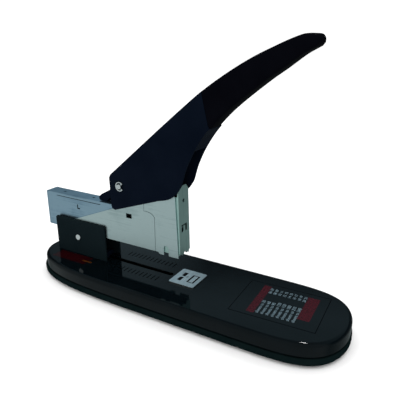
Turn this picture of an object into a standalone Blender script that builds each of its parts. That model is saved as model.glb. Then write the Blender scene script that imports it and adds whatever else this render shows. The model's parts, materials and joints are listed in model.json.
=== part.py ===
"""Heavy-duty stapler: a long two-part base, a sprung head on a rear bracket and a tall lever handle.

X runs forward along the base, Y across it and Z up. The origin is at the middle of the base,
on the surface that the feet stand on. Everything is in metres.
"""

import math

import bmesh
import bpy
from mathutils import Matrix, Vector

MM = 0.001
TURN = 2 * math.pi

# Clearances and cutting
GAP = 0.3 * MM  # between pieces that touch or slide on each other
OVERRUN = 1.0 * MM  # how far a cutter runs past the face that it opens
HOLLOW_OVERRUN = 10.0 * MM  # the same for the handle's hollow, which opens a curved side
COIL_END_GAP = 0.5 * MM  # free space beside the closed end turn of a spring
JOIN = 0.2 * MM  # how deep two shapes of one piece reach into each other
ROUND_STEPS = 20  # sides of a pin, a rivet or a hole
ARC_STEPS = 8  # points on a rounded corner
COIL_STEPS = 9  # points on one turn of a spring
TOOTH_STEPS = 4  # points on one tooth of a clip

# Base outline: two super-elliptic ends that meet at the widest point
BASE_LENGTH = 304.6 * MM
BASE_REAR_MARGIN = 18.0 * MM  # from the rear bracket to the rear end
BASE_WIDTH = 87.4 * MM
WIDEST_X = 43.0 * MM
FRONT_POWER = 6.6
REAR_POWER = 6.0
OUTLINE_STEPS = 72

# Base shells, feet and screws
FOOT_HEIGHT = 1.5 * MM
FOOT_RADIUS = 7.0 * MM
FOOT_INSET = 34.5 * MM
FOOT_Y = 24.0 * MM
BASE_TOP = 20.2 * MM
GROOVE_Z = 8.0 * MM
TRAY_FLOOR = 2.0 * MM
TRAY_EDGE = 2.4 * MM
COVER_INSET = 0.8 * MM
COVER_REAR_STEP = 1.4 * MM
COVER_WALL = 2.0 * MM
COVER_EDGE = 3.2 * MM
SCREW_RADIUS = 1.8 * MM
SCREW_HEAD_RADIUS = 3.6 * MM
SCREW_HEAD_HEIGHT = 1.1 * MM
SCREW_HEAD_TAPER_SHARE = 0.8
SCREW_Y = 10.0 * MM
SCREW_REAR_X = -133.6 * MM
SCREW_FRONT_X = 27.0 * MM

# Chassis channel inside the base
CHASSIS_SHEET = 2.0 * MM
CHASSIS_HALF = 16.0 * MM
CHASSIS_REAR_X = -138.5 * MM
CHASSIS_FRONT_X = 32.0 * MM

# Guide slot and paper stop
SLOT_REAR_X = -88.0 * MM
SLOT_FRONT_X = -4.3 * MM
SLOT_WIDTH = 5.0 * MM
STOP_X = -81.0 * MM
STOP_LENGTH = 4.0 * MM
STOP_HALF = 8.2 * MM
STOP_HEIGHT = 4.2 * MM
STOP_EDGE = 0.8 * MM
CLAMP_LENGTH = 12.0 * MM
CLAMP_HALF = 7.0 * MM
CLAMP_THICKNESS = 1.8 * MM

# Anvil
ANVIL_REAR_X = -1.0 * MM
ANVIL_LENGTH = 24.7 * MM
ANVIL_HALF = 13.0 * MM
ANVIL_PROUD = 1.1 * MM
ANVIL_CORNER = 1.5 * MM
POCKET_X = 6.4 * MM
POCKET_WIDTH = 2.6 * MM
POCKET_INNER_Y = 0.8 * MM
POCKET_OUTER_Y = 7.4 * MM
POCKET_DEPTH = 0.7 * MM
MARK_X = 16.4 * MM
MARK_LENGTH = 6.4 * MM
MARK_HALF = 6.6 * MM
MARK_RETURN = 3.2 * MM
MARK_GROOVE = 1.0 * MM
ANVIL_SCREW_RADIUS = 1.5 * MM
ANVIL_SCREW_HEAD = 2.8 * MM
ANVIL_SCREW_X = 20.6 * MM
ANVIL_SCREW_Y = 9.8 * MM
ANVIL_SCREW_BITE = 1.5 * MM

# Rear bracket
BRACKET_REAR_X = -134.1 * MM
BRACKET_FRONT_X = -72.4 * MM
BRACKET_FLOOR_X = -89.5 * MM
BRACKET_HALF = 10.65 * MM
BRACKET_WALL = 1.6 * MM
BRACKET_FLOOR = 2.0 * MM
BRACKET_TOP = 55.9 * MM
BRACKET_CORNER = 1.6 * MM
RIVET_RADIUS = 1.5 * MM
RIVET_HEAD_RADIUS = 2.7 * MM
RIVET_HEAD_HEIGHT = 1.1 * MM
RIVET_CROWN_SHARE = 0.6
RIVET_EDGE_SHARE = 0.4
RIVET_REAR_X = -128.0 * MM
RIVET_FRONT_X = -115.0 * MM
RIVET_Y = 5.2 * MM

# Head pivot
PIVOT_X = -105.9 * MM
PIVOT_Z = 38.4 * MM
PIN_RADIUS = 2.3 * MM
PIN_HEAD_RADIUS = 2.9 * MM
PIN_HEAD_HEIGHT = 0.9 * MM
PIN_TAIL = 0.9 * MM
CLIP_RADIUS = 4.3 * MM
CLIP_SHEET = 0.8 * MM
CLIP_STOP_SHARES = [0.9, 0.83, 0.56, 0.44, 0.17, 0.1]  # of a turn: teeth and reliefs in turn
CLIP_STEP_SHARE = 0.01  # of a turn, from a tooth to the relief beside it
HEAD_SPRING_X = -94.6 * MM
HEAD_SPRING_RADIUS = 4.0 * MM
HEAD_SPRING_WIRE = 0.55 * MM
HEAD_SPRING_TURNS = 6

# Magazine
MAGAZINE_REAR_X = -145.6 * MM
MAGAZINE_FRONT_X = -27.3 * MM
MAGAZINE_BOTTOM = 43.9 * MM
MAGAZINE_TOP = 78.1 * MM
MAGAZINE_HALF = 7.4 * MM
MAGAZINE_SHEET = 0.8 * MM
MAGAZINE_FOLD = 0.7 * MM
TOP_HOLE_RADIUS = 1.3 * MM
TOP_HOLE_REAR_X = -129.2 * MM
TOP_HOLE_FRONT_X = -92.3 * MM
SLIT_REAR_X = -133.6 * MM
SLIT_FRONT_X = -77.9 * MM
SLIT_Z = 75.3 * MM
SLIT_HEIGHT = 0.6 * MM
LATCH_X = -107.5 * MM
LATCH_Z = 66.2 * MM
LATCH_HEIGHT = 4.4 * MM
LATCH_LENGTH = 3.4 * MM
LATCH_CUT = 1.2 * MM
RAIL_REAR_X = -139.0 * MM
RAIL_HALF = 5.1 * MM
RAIL_SHEET = 0.8 * MM
RAIL_FLOOR = 1.0 * MM
STAPLE_LEG = 23.5 * MM
STAPLE_WIRE = 0.9 * MM
STRIP_LENGTH = 55.0 * MM

# Loader: rear cap, guide rod, pusher and its spring
CAP_LENGTH = 2.0 * MM
CAP_CORNER = 0.9 * MM
CAP_PLUG = 6.0 * MM
ROD_Z = 57.0 * MM
ROD_RADIUS = 1.5 * MM
ROD_FRONT_X = 1.0 * MM
ROD_HEAD_RADIUS = 2.7 * MM
ROD_HEAD_LENGTH = 2.4 * MM
PUSHER_LENGTH = 10.0 * MM
PUSHER_DEPTH = 17.0 * MM
PUSHER_SPRING_RADIUS = 2.7 * MM
PUSHER_SPRING_WIRE = 0.4 * MM
PUSHER_SPRING_TURNS = 20

# Head side plates and nose
PLATE_SHEET = 1.0 * MM
EAR_RADIUS = 7.0 * MM
PLATE_BOTTOM = 44.0 * MM
PLATE_HEEL_Z = 54.6 * MM
SHOULDER_X = -63.3 * MM
SHOULDER_Z = 74.8 * MM
HANDLE_EAR_RADIUS = 8.0 * MM
CHEEK_TOP_X = 4.6 * MM
CHEEK_TOP_Z = 97.7 * MM
CHEEK_FRONT_X = 7.3 * MM
FOOT_BOTTOM = 42.3 * MM
FOOT_BACK_X = -13.9 * MM
FOOT_CORNER = 2.0 * MM
NOTCH_REAR_X = -7.7 * MM
NOTCH_WIDTH = 5.0 * MM
NOTCH_TOP = 51.4 * MM
SEAM_LOW_X = -16.3 * MM
SEAM_BEND_Z = 74.5 * MM
SEAM_HIGH_X = -27.3 * MM
SEAM_HIGH_Z = 79.6 * MM
SEAM_BEND_SHARE = 0.8
SQUARE_X = -44.2 * MM
SQUARE_Z = 71.5 * MM
SQUARE_LENGTH = 6.1 * MM
SQUARE_HEIGHT = 4.1 * MM
SQUARE_MARGIN = 0.8 * MM
NOSE_X = 7.7 * MM  # inner face at its bottom, from where the wall leans back
NOSE_LEAN = math.radians(1.2)
NOSE_SHEET = 1.0 * MM
NOSE_HALF = 8.0 * MM
NOSE_BOTTOM = 44.4 * MM
NOSE_TOP = 105.8 * MM
NOSE_REAR_TOP = 84.0 * MM
NOSE_TOP_CORNER_WIDTH = 3.6 * MM
NOSE_TOP_CORNER_HEIGHT = 4.2 * MM
NOSE_LOW_CORNER_WIDTH = 3.2 * MM
NOSE_LOW_CORNER_HEIGHT = 2.0 * MM
WINDOW_Z = 68.5 * MM
WINDOW_HEIGHT = 6.6 * MM
WINDOW_HALF = 4.3 * MM
WINDOW_TAB_HALF = 1.4 * MM
WINDOW_TAB_GAP = 1.2 * MM
NOSE_HOLE_Z = 92.7 * MM
NOSE_HOLE_RADIUS = 1.6 * MM
NOSE_NOTCH_RADIUS = 2.1 * MM

# Driver
BLADE_BOTTOM = 69.3 * MM
BLADE_SHEET = 1.0 * MM
CARRIER_HEIGHT = 9.8 * MM
CARRIER_LENGTH = 14.8 * MM
CARRIER_WEB = 1.7 * MM
FORK_PLAY = 0.7 * MM

# Handle pin, drive lever and return spring
HANDLE_X = -50.7 * MM
HANDLE_Z = 98.4 * MM
DRIVE_ARM = 50.0 * MM
DRIVE_REST_ANGLE = math.radians(3.0)
DRIVE_SWING = math.radians(28.0)
DRIVE_PIN_RADIUS = 2.0 * MM
LEVER_HALF = 3.3 * MM
LEVER_TIP_RADIUS = 3.6 * MM
LEVER_HUB_RADIUS = 7.0 * MM
TAIL_REACH = 31.8 * MM
TAIL_WIDTH = 9.0 * MM
TAIL_RISE = 3.4 * MM
RETURN_SPRING_X = -42.0 * MM
RETURN_SPRING_RADIUS = 2.6 * MM
RETURN_SPRING_WIRE = 0.45 * MM
RETURN_SPRING_TURNS = 5

# Handle
HANDLE_REACH = 168.5 * MM
HANDLE_RISE = 125.3 * MM
HANDLE_HALF = 10.55 * MM
HANDLE_SHEET = 1.5 * MM
HANDLE_EDGE = 2.6 * MM
HANDLE_END_WALL = 14.0 * MM
GRIP_EDGE = 3.0 * MM
GRIP_TAPER_SHARE = 0.18
TANG_LENGTH = 44.0 * MM
TANG_HEIGHT = 8.0 * MM
TANG_HALF = 5.0 * MM
CURVE_STEPS = 4  # straight stretches between two points of the handle's outline

# Back and front edge of the handle, from the handle pin, as shares of its reach and its rise
BACK_EDGE_SHARES = [
    (-0.071, 0.070),
    (0.025, 0.178),
    (0.237, 0.419),
    (0.421, 0.622),
    (0.505, 0.707),
    (0.579, 0.773),
    (0.654, 0.834),
    (0.723, 0.884),
    (0.792, 0.927),
    (0.846, 0.959),
    (0.902, 0.987),
    (0.929, 0.993),
    (0.951, 0.993),
    (0.965, 0.987),
    (0.974, 0.970),
    (0.974, 0.949),
]
FRONT_EDGE_SHARES = [
    (0.964, 0.931),
    (0.940, 0.914),
    (0.902, 0.884),
    (0.834, 0.816),
    (0.765, 0.751),
    (0.665, 0.646),
    (0.588, 0.557),
    (0.522, 0.464),
    (0.476, 0.384),
    (0.432, 0.287),
    (0.397, 0.183),
    (0.375, 0.087),
    (0.362, 0.054),
    (0.347, 0.025),
    (0.332, 0.005),
    (0.297, -0.029),
    (0.237, -0.052),
]
HEEL_SHARES = [(-0.042, -0.184), (-0.062, -0.176), (-0.066, -0.155)]
GRIP_SEAM_SHARES = [(0.481, 0.672), (0.511, 0.504)]
TANG_AIM_SHARES = [(0.664, 0.730)]
LEVER_BACK_SHARES = [
    (-0.171, -0.111),
    (-0.110, -0.065),
    (-0.023, 0.075),
    (0.022, 0.125),
    (0.147, 0.262),
    (0.187, 0.270),
    (0.197, 0.140),
]

# Levels and faces that follow from the sizes above
BASE_REAR_X = BRACKET_REAR_X - BASE_REAR_MARGIN
BASE_FRONT_X = BASE_REAR_X + BASE_LENGTH
FOOT_REAR_X = BASE_REAR_X + FOOT_INSET
FOOT_FRONT_X = BASE_FRONT_X - FOOT_INSET
TRAY_BOTTOM = FOOT_HEIGHT + GAP
TRAY_TOP = GROOVE_Z
COVER_BOTTOM = GROOVE_Z + GAP
CHASSIS_TOP = BASE_TOP - COVER_WALL - GAP
CHASSIS_BOTTOM = TRAY_BOTTOM + TRAY_FLOOR + GAP
SEAT_Z = BASE_TOP + GAP
ANVIL_TOP = BASE_TOP + ANVIL_PROUD
ANVIL_BOTTOM = CHASSIS_TOP + GAP
PLATE_INNER = MAGAZINE_HALF + GAP
PLATE_MID = PLATE_INNER + PLATE_SHEET / 2
BORE_RADIUS = PIN_RADIUS + GAP
STAPLE_HALF = MAGAZINE_HALF - MAGAZINE_SHEET - GAP
STAPLE_BOTTOM = MAGAZINE_BOTTOM + RAIL_FLOOR + GAP
CROWN_BOTTOM = STAPLE_BOTTOM + STAPLE_LEG - STAPLE_WIRE
RAIL_TOP = CROWN_BOTTOM - GAP
BLADE_FRONT = NOSE_X - GAP
BLADE_REAR = BLADE_FRONT - BLADE_SHEET
CROWN_TOP = CROWN_BOTTOM + STAPLE_WIRE
STRIP_FRONT = BLADE_REAR - (CROWN_TOP - NOSE_BOTTOM) * math.tan(NOSE_LEAN) - GAP
STRIP_REAR = STRIP_FRONT - STRIP_LENGTH
PUSHER_FRONT = STRIP_REAR - GAP
PUSHER_REAR = PUSHER_FRONT - PUSHER_LENGTH
CAP_FRONT = MAGAZINE_REAR_X - GAP
PLUG_FRONT = CAP_FRONT + CAP_PLUG
DRIVE_PIN_X = HANDLE_X + DRIVE_ARM * math.cos(DRIVE_REST_ANGLE)
DRIVE_PIN_Z = HANDLE_Z + DRIVE_ARM * math.sin(DRIVE_REST_ANGLE)
SWUNG_PIN_X = HANDLE_X + DRIVE_ARM * math.cos(DRIVE_REST_ANGLE - DRIVE_SWING)
SWUNG_PIN_Z = HANDLE_Z + DRIVE_ARM * math.sin(DRIVE_REST_ANGLE - DRIVE_SWING)


def clear_scene():
    for thing in list(bpy.data.objects):
        bpy.data.objects.remove(thing, do_unlink=True)


def new_collection(name):
    made = bpy.data.collections.new(name)
    bpy.context.scene.collection.children.link(made)
    return made


def finish(name, colour, roughness, metallic):
    """A plain Principled material."""
    made = bpy.data.materials.new(name)
    made.use_nodes = True
    shader = made.node_tree.nodes["Principled BSDF"]
    shader.inputs["Base Color"].default_value = (*colour, 1)
    shader.inputs["Roughness"].default_value = roughness
    shader.inputs["Metallic"].default_value = metallic
    made.diffuse_color = (*colour, 1)
    return made


clear_scene()
PARTS = new_collection("heavy_duty_stapler")
CUTTERS = new_collection("cutters")
FINISHES = {
    "gloss_black": finish("gloss_black", (0.008, 0.009, 0.012), 0.08, 0),
    "satin_black": finish("satin_black", (0.02, 0.022, 0.026), 0.4, 0),
    "black_steel": finish("black_steel", (0.02, 0.026, 0.034), 0.35, 0.3),
    "grip_black": finish("grip_black", (0.02, 0.02, 0.024), 0.5, 0),
    "zinc_steel": finish("zinc_steel", (0.62, 0.68, 0.70), 0.32, 1),
    "blue_zinc": finish("blue_zinc", (0.55, 0.62, 0.70), 0.3, 1),
    "bright_steel": finish("bright_steel", (0.78, 0.79, 0.80), 0.2, 1),
    "spring_steel": finish("spring_steel", (0.35, 0.36, 0.38), 0.3, 1),
    "rubber": finish("rubber", (0.03, 0.03, 0.03), 0.8, 0),
}


def add(name, data, finish_name=None):
    """A new object. With no finish it is a cutter or a helper, which a render leaves out."""
    made = bpy.data.objects.new(name, data)
    if finish_name:
        PARTS.objects.link(made)
        made.data.materials.append(FINISHES[finish_name])
    else:
        CUTTERS.objects.link(made)
        made.hide_render = True
        made.display_type = "WIRE"
    return made


def circle(x, y, radius, steps=ROUND_STEPS):
    return [
        (x + radius * math.cos(TURN * i / steps), y + radius * math.sin(TURN * i / steps))
        for i in range(steps)
    ]


def arc(x, y, radius, start, end, steps=ARC_STEPS):
    """Points from one angle to another, both in degrees."""
    angles = [math.radians(start + (end - start) * i / steps) for i in range(steps + 1)]
    return [(x + radius * math.cos(a), y + radius * math.sin(a)) for a in angles]


def rectangle(low_x, low_y, high_x, high_y):
    return [(low_x, low_y), (high_x, low_y), (high_x, high_y), (low_x, high_y)]


def stadium(rear_x, front_x, width, grow=0.0):
    """A slot outline with round ends, about the X axis."""
    radius = width / 2
    return arc(front_x - radius, 0, radius + grow, -90, 90) + arc(
        rear_x + radius, 0, radius + grow, 90, 270
    )


def flat_curve(outlines, thickness):
    """A filled flat curve. Its first outline is the outer one, and the others are holes."""
    curve = bpy.data.curves.new("outline", "CURVE")
    curve.dimensions = "2D"
    curve.fill_mode = "BOTH"
    curve.extrude = thickness / 2
    for outline in outlines:
        spline = curve.splines.new("POLY")
        spline.points.add(len(outline) - 1)
        for point, (x, y) in zip(spline.points, outline):
            point.co = (x, y, 0, 1)
        spline.use_cyclic_u = True
    return curve


def as_mesh(thing):
    """Turns a curve object into a mesh object of the same name, place and finish."""
    bpy.context.view_layer.update()
    graph = bpy.context.evaluated_depsgraph_get()
    mesh = bpy.data.meshes.new_from_object(thing.evaluated_get(graph))
    work = bmesh.new()
    work.from_mesh(mesh)
    bmesh.ops.remove_doubles(work, verts=work.verts, dist=GAP / 100)
    bmesh.ops.recalc_face_normals(work, faces=work.faces)
    work.to_mesh(mesh)
    work.free()
    name = thing.name
    made = bpy.data.objects.new("made", mesh)
    for home in thing.users_collection:
        home.objects.link(made)
    made.hide_render = thing.hide_render
    made.display_type = thing.display_type
    made.matrix_world = thing.matrix_world.copy()
    bpy.data.objects.remove(thing, do_unlink=True)
    made.name = name
    return made


def upright(name, outlines, thickness, middle_y, finish_name=None):
    """A plate standing in the XZ plane, as a mesh."""
    made = add(name, flat_curve(outlines, thickness), finish_name)
    made.rotation_euler = (math.pi / 2, 0, 0)
    made.location = (0, middle_y, 0)
    return as_mesh(made)


def lying(name, outlines, low_z, high_z, finish_name=None):
    """A plate lying in the XY plane, as a mesh."""
    made = add(name, flat_curve(outlines, high_z - low_z), finish_name)
    made.location = (0, 0, (low_z + high_z) / 2)
    return as_mesh(made)


def facing(name, outlines, rear_x, front_x, finish_name=None):
    """A plate or a bar whose outline lies in the YZ plane, as a mesh."""
    made = add(name, flat_curve(outlines, front_x - rear_x), finish_name)
    made.rotation_euler = (math.pi / 2, 0, math.pi / 2)
    made.location = ((rear_x + front_x) / 2, 0, 0)
    return as_mesh(made)


def block(name, low, high, finish_name=None):
    mesh = bpy.data.meshes.new(name)
    work = bmesh.new()
    bmesh.ops.create_cube(work, size=1)
    size = [b - a for a, b in zip(low, high)]
    bmesh.ops.scale(work, vec=size, verts=work.verts)
    work.to_mesh(mesh)
    work.free()
    made = add(name, mesh, finish_name)
    made.location = [(a + b) / 2 for a, b in zip(low, high)]
    return made


def boolean(thing, other, operation):
    made = thing.modifiers.new(operation.lower(), "BOOLEAN")
    made.operation = operation
    made.solver = "EXACT"
    made.object = other


def cut(thing, cutter):
    boolean(thing, cutter, "DIFFERENCE")


def join(thing, other):
    boolean(thing, other, "UNION")


def round_edges(thing, radius, segments=2, angle=50):
    made = thing.modifiers.new("edges", "BEVEL")
    made.width = radius
    made.segments = segments
    made.limit_method = "ANGLE"
    made.angle_limit = math.radians(angle)


def turned(name, profile, place, axis, finish_name):
    """A turned piece. The profile runs as (radius, height) down its outer side, from top to bottom."""
    mesh = bpy.data.meshes.new(name)
    mesh.from_pydata(
        [(radius, 0, height) for radius, height in profile],
        [(i, i + 1) for i in range(len(profile) - 1)],
        [],
    )
    made = add(name, mesh, finish_name)
    screw = made.modifiers.new("turn", "SCREW")
    screw.steps = ROUND_STEPS
    screw.render_steps = ROUND_STEPS
    screw.use_merge_vertices = True
    screw.merge_threshold = GAP / 100
    screw.use_smooth_shade = True
    made.rotation_euler = {"Y": (-math.pi / 2, 0, 0), "X": (0, math.pi / 2, 0), "Z": (0, 0, 0)}[axis]
    made.location = place
    return made


def rod(radius, low, high):
    """The profile of a plain round bar."""
    return [(0, high), (radius, high), (radius, low), (0, low)]


def drill(thing, centres, radius, low_z, high_z):
    """Cuts one round hole straight down at each centre, all with one cutter."""
    mesh = bpy.data.meshes.new("drill")
    work = bmesh.new()
    for x, y in centres:
        made = bmesh.ops.create_cone(
            work,
            cap_ends=True,
            segments=ROUND_STEPS,
            radius1=radius,
            radius2=radius,
            depth=high_z - low_z,
        )
        bmesh.ops.translate(work, vec=(x, y, (low_z + high_z) / 2), verts=made["verts"])
    work.to_mesh(mesh)
    work.free()
    cut(thing, add(thing.name + "_drill", mesh))


def coil(name, radius, wire, turns, start, end, finish_name):
    """A spring from start to end, with nearly flat end turns, as one unbroken wire."""
    a, b = Vector(start), Vector(end)
    along = (b - a).normalized()
    side = Vector((0, 1, 0))
    across = along.cross(side)
    length = (b - a).length - 2 * wire
    steps = COIL_STEPS * turns
    flat_share = 1 / turns
    curve = bpy.data.curves.new(name, "CURVE")
    curve.dimensions = "3D"
    curve.bevel_depth = wire
    curve.bevel_resolution = 1
    curve.use_fill_caps = True
    spline = curve.splines.new("POLY")
    spline.points.add(steps)
    end_pitch = 2 * wire + COIL_END_GAP
    points = []
    for i in range(steps + 1):
        share = i / steps
        closed = min(share, flat_share, 1 - share) / flat_share
        middle = max(0, min(1, (share - flat_share) / (1 - 2 * flat_share)))
        end_rise = closed * end_pitch
        rise = end_rise + middle * (length - 2 * end_pitch)
        if share > 1 - flat_share:
            rise = length - end_rise
        angle = TURN * turns * share
        points.append(
            a + along * (wire + rise) + radius * (side * math.cos(angle) + across * math.sin(angle))
        )
    for point, place in zip(spline.points, points):
        point.co = (*place, 1)
    print(name, "least gap between turns, mm:", round(least_gap(points, wire) / MM, 2))
    return add(name, curve, finish_name)


def least_gap(points, wire):
    """The least free distance between neighbouring turns of a coil."""
    return min(
        (points[i] - points[j]).length
        for i in range(len(points))
        for j in range(i + COIL_STEPS - 2, min(i + COIL_STEPS + 3, len(points)))
    ) - 2 * wire


def hang(things, pivot):
    """Parents pieces to an empty on their joint's axis, and leaves them where they are."""
    for thing in things:
        thing.parent = pivot
        thing.location = Vector(thing.location) - Vector(pivot.location)


def pivot_at(name, place):
    made = bpy.data.objects.new(name, None)
    PARTS.objects.link(made)
    made.location = place
    made.empty_display_size = PIN_RADIUS
    return made


def base_outline(inset, rear_step=0.0):
    """The base's plan, drawn in by inset all round and by rear_step more at the rear."""
    half = BASE_WIDTH / 2 - inset
    front = BASE_FRONT_X - WIDEST_X - inset
    rear = WIDEST_X - BASE_REAR_X - inset - rear_step
    points = []
    for i in range(OUTLINE_STEPS):
        angle = TURN * (i + 0.5) / OUTLINE_STEPS
        along = math.cos(angle)
        reach, power = (front, FRONT_POWER) if along > 0 else (rear, REAR_POWER)
        x = WIDEST_X + math.copysign(reach * abs(along) ** (2 / power), along)
        points.append((x, half * math.sin(angle)))
    return points


def shell(name, outline, low_z, high_z, edge, wall, closed_top, finish_name):
    """An open tray or cover: walls and one flat side, rounded where they meet, with thickness."""
    mesh = bpy.data.meshes.new(name)
    work = bmesh.new()
    flat_z, rim_z = (high_z, low_z) if closed_top else (low_z, high_z)
    ring = [work.verts.new((x, y, flat_z)) for x, y in outline]
    face = work.faces.new(ring if closed_top else reversed(ring))
    rim_edges = list(face.edges)
    made = bmesh.ops.extrude_edge_only(work, edges=rim_edges)
    rim = [v for v in made["geom"] if isinstance(v, bmesh.types.BMVert)]
    bmesh.ops.translate(work, vec=(0, 0, rim_z - flat_z), verts=rim)
    bmesh.ops.recalc_face_normals(work, faces=work.faces)
    if face.normal.z * (1 if closed_top else -1) < 0:
        bmesh.ops.reverse_faces(work, faces=work.faces)
    bmesh.ops.bevel(
        work,
        geom=rim_edges,
        offset=edge,
        segments=3,
        profile=0.5,
        affect="EDGES",
        material=-1,
    )
    work.to_mesh(mesh)
    work.free()
    made = add(name, mesh, finish_name)
    thick = made.modifiers.new("wall", "SOLIDIFY")
    thick.thickness = wall
    thick.offset = -1
    thick.use_even_offset = True
    return made


def foot_places():
    return [(x, y) for x in (FOOT_REAR_X, FOOT_FRONT_X) for y in (-FOOT_Y, FOOT_Y)]


def screw_places():
    return [(x, y) for x in (SCREW_REAR_X, SCREW_FRONT_X) for y in (-SCREW_Y, SCREW_Y)]


def rivet_places():
    return [(x, y) for x in (RIVET_REAR_X, RIVET_FRONT_X) for y in (-RIVET_Y, RIVET_Y)]


def anvil_screw_places():
    return [(ANVIL_SCREW_X, y) for y in (-ANVIL_SCREW_Y, ANVIL_SCREW_Y)]


def anvil_outline(grow=0.0):
    radius = ANVIL_CORNER
    low_x, high_x = ANVIL_REAR_X + radius, ANVIL_REAR_X + ANVIL_LENGTH - radius
    low_y, high_y = radius - ANVIL_HALF, ANVIL_HALF - radius
    corners = [(high_x, high_y, 0), (low_x, high_y, 90), (low_x, low_y, 180), (high_x, low_y, 270)]
    points = []
    for x, y, start in corners:
        points += arc(x, y, radius + grow, start, start + 90, steps=4)
    return points


def make_base_cover():
    cover = shell(
        "base_cover",
        base_outline(COVER_INSET, COVER_REAR_STEP),
        COVER_BOTTOM,
        BASE_TOP,
        COVER_EDGE,
        COVER_WALL,
        True,
        "gloss_black",
    )
    low, high = BASE_TOP - COVER_WALL - OVERRUN, BASE_TOP + OVERRUN
    cut(cover, lying("cover_slot", [stadium(SLOT_REAR_X, SLOT_FRONT_X, SLOT_WIDTH)], low, high))
    cut(cover, lying("cover_anvil", [anvil_outline(GAP)], low, high))
    drill(cover, rivet_places(), RIVET_RADIUS + GAP, low, high)


def make_base_tray():
    tray = shell(
        "base_tray",
        base_outline(0.0),
        TRAY_BOTTOM,
        TRAY_TOP,
        TRAY_EDGE,
        TRAY_FLOOR,
        False,
        "satin_black",
    )
    drill(
        tray,
        screw_places(),
        SCREW_RADIUS + GAP,
        TRAY_BOTTOM - OVERRUN,
        TRAY_BOTTOM + TRAY_FLOOR + OVERRUN,
    )


def make_chassis():
    inner = CHASSIS_HALF - CHASSIS_SHEET
    chassis = block(
        "base_chassis",
        (CHASSIS_REAR_X, -CHASSIS_HALF, CHASSIS_BOTTOM),
        (CHASSIS_FRONT_X, CHASSIS_HALF, CHASSIS_TOP),
        "zinc_steel",
    )
    hollow = block(
        "chassis_hollow",
        (CHASSIS_REAR_X - OVERRUN, -inner, CHASSIS_BOTTOM - OVERRUN),
        (CHASSIS_FRONT_X + OVERRUN, inner, CHASSIS_TOP - CHASSIS_SHEET),
    )
    cut(chassis, hollow)
    low, high = CHASSIS_TOP - CHASSIS_SHEET - OVERRUN, CHASSIS_TOP + OVERRUN
    cut(chassis, lying("chassis_slot", [stadium(SLOT_REAR_X, SLOT_FRONT_X, SLOT_WIDTH)], low, high))
    drill(chassis, rivet_places(), RIVET_RADIUS + GAP, low, high)
    drill(chassis, screw_places(), SCREW_RADIUS + GAP, low, high)
    drill(chassis, anvil_screw_places(), ANVIL_SCREW_RADIUS + GAP, low, high)


def make_feet_and_screws():
    for number, (x, y) in enumerate(foot_places(), 1):
        edge = FOOT_HEIGHT / 4
        profile = [
            (0, FOOT_HEIGHT),
            (FOOT_RADIUS, FOOT_HEIGHT),
            (FOOT_RADIUS, edge),
            (FOOT_RADIUS - edge, 0),
            (0, 0),
        ]
        turned(f"foot_pad_{number}", profile, (x, y, 0), "Z", "rubber")
    top = TRAY_BOTTOM - GAP
    for number, (x, y) in enumerate(screw_places(), 1):
        profile = [
            (0, CHASSIS_TOP - GAP),
            (SCREW_RADIUS, CHASSIS_TOP - GAP),
            (SCREW_RADIUS, top),
            (SCREW_HEAD_RADIUS, top),
            (SCREW_HEAD_RADIUS * SCREW_HEAD_TAPER_SHARE, top - SCREW_HEAD_HEIGHT),
            (0, top - SCREW_HEAD_HEIGHT),
        ]
        turned(f"base_screw_{number}", profile, (x, y, 0), "Z", "bright_steel")


def bracket_mark(side):
    """One half of the rectangular groove on the anvil: a long bar with a return at each end."""
    low_x, high_x = MARK_X - MARK_LENGTH / 2, MARK_X + MARK_LENGTH / 2
    out, back, line = MARK_HALF, MARK_HALF - MARK_RETURN, MARK_GROOVE
    points = [
        (low_x, back),
        (low_x, out),
        (high_x, out),
        (high_x, back),
        (high_x - line, back),
        (high_x - line, out - line),
        (low_x + line, out - line),
        (low_x + line, back),
    ]
    return [(x, side * y) for x, y in points]


def make_anvil():
    anvil = lying("anvil_plate", [anvil_outline()], ANVIL_BOTTOM, ANVIL_TOP, "bright_steel")
    low, high = ANVIL_TOP - POCKET_DEPTH, ANVIL_TOP + OVERRUN
    for side in (-1, 1):
        inner, outer = sorted((side * POCKET_INNER_Y, side * POCKET_OUTER_Y))
        pocket = rectangle(POCKET_X - POCKET_WIDTH / 2, inner, POCKET_X + POCKET_WIDTH / 2, outer)
        cut(anvil, lying("clinch_pocket", [pocket], low, high))
        cut(anvil, lying("anvil_mark", [bracket_mark(side)], low, high))
    drill(
        anvil,
        anvil_screw_places(),
        ANVIL_SCREW_RADIUS + GAP,
        ANVIL_BOTTOM - OVERRUN,
        ANVIL_BOTTOM + ANVIL_SCREW_BITE,
    )
    head_top = CHASSIS_TOP - CHASSIS_SHEET - GAP
    for number, (x, y) in enumerate(anvil_screw_places(), 1):
        tip = ANVIL_BOTTOM + ANVIL_SCREW_BITE - GAP
        profile = [
            (0, tip),
            (ANVIL_SCREW_RADIUS, tip),
            (ANVIL_SCREW_RADIUS, head_top),
            (ANVIL_SCREW_HEAD, head_top),
            (ANVIL_SCREW_HEAD, head_top - SCREW_HEAD_HEIGHT),
            (0, head_top - SCREW_HEAD_HEIGHT),
        ]
        turned(f"anvil_screw_{number}", profile, (x, y, 0), "Z", "bright_steel")


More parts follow.
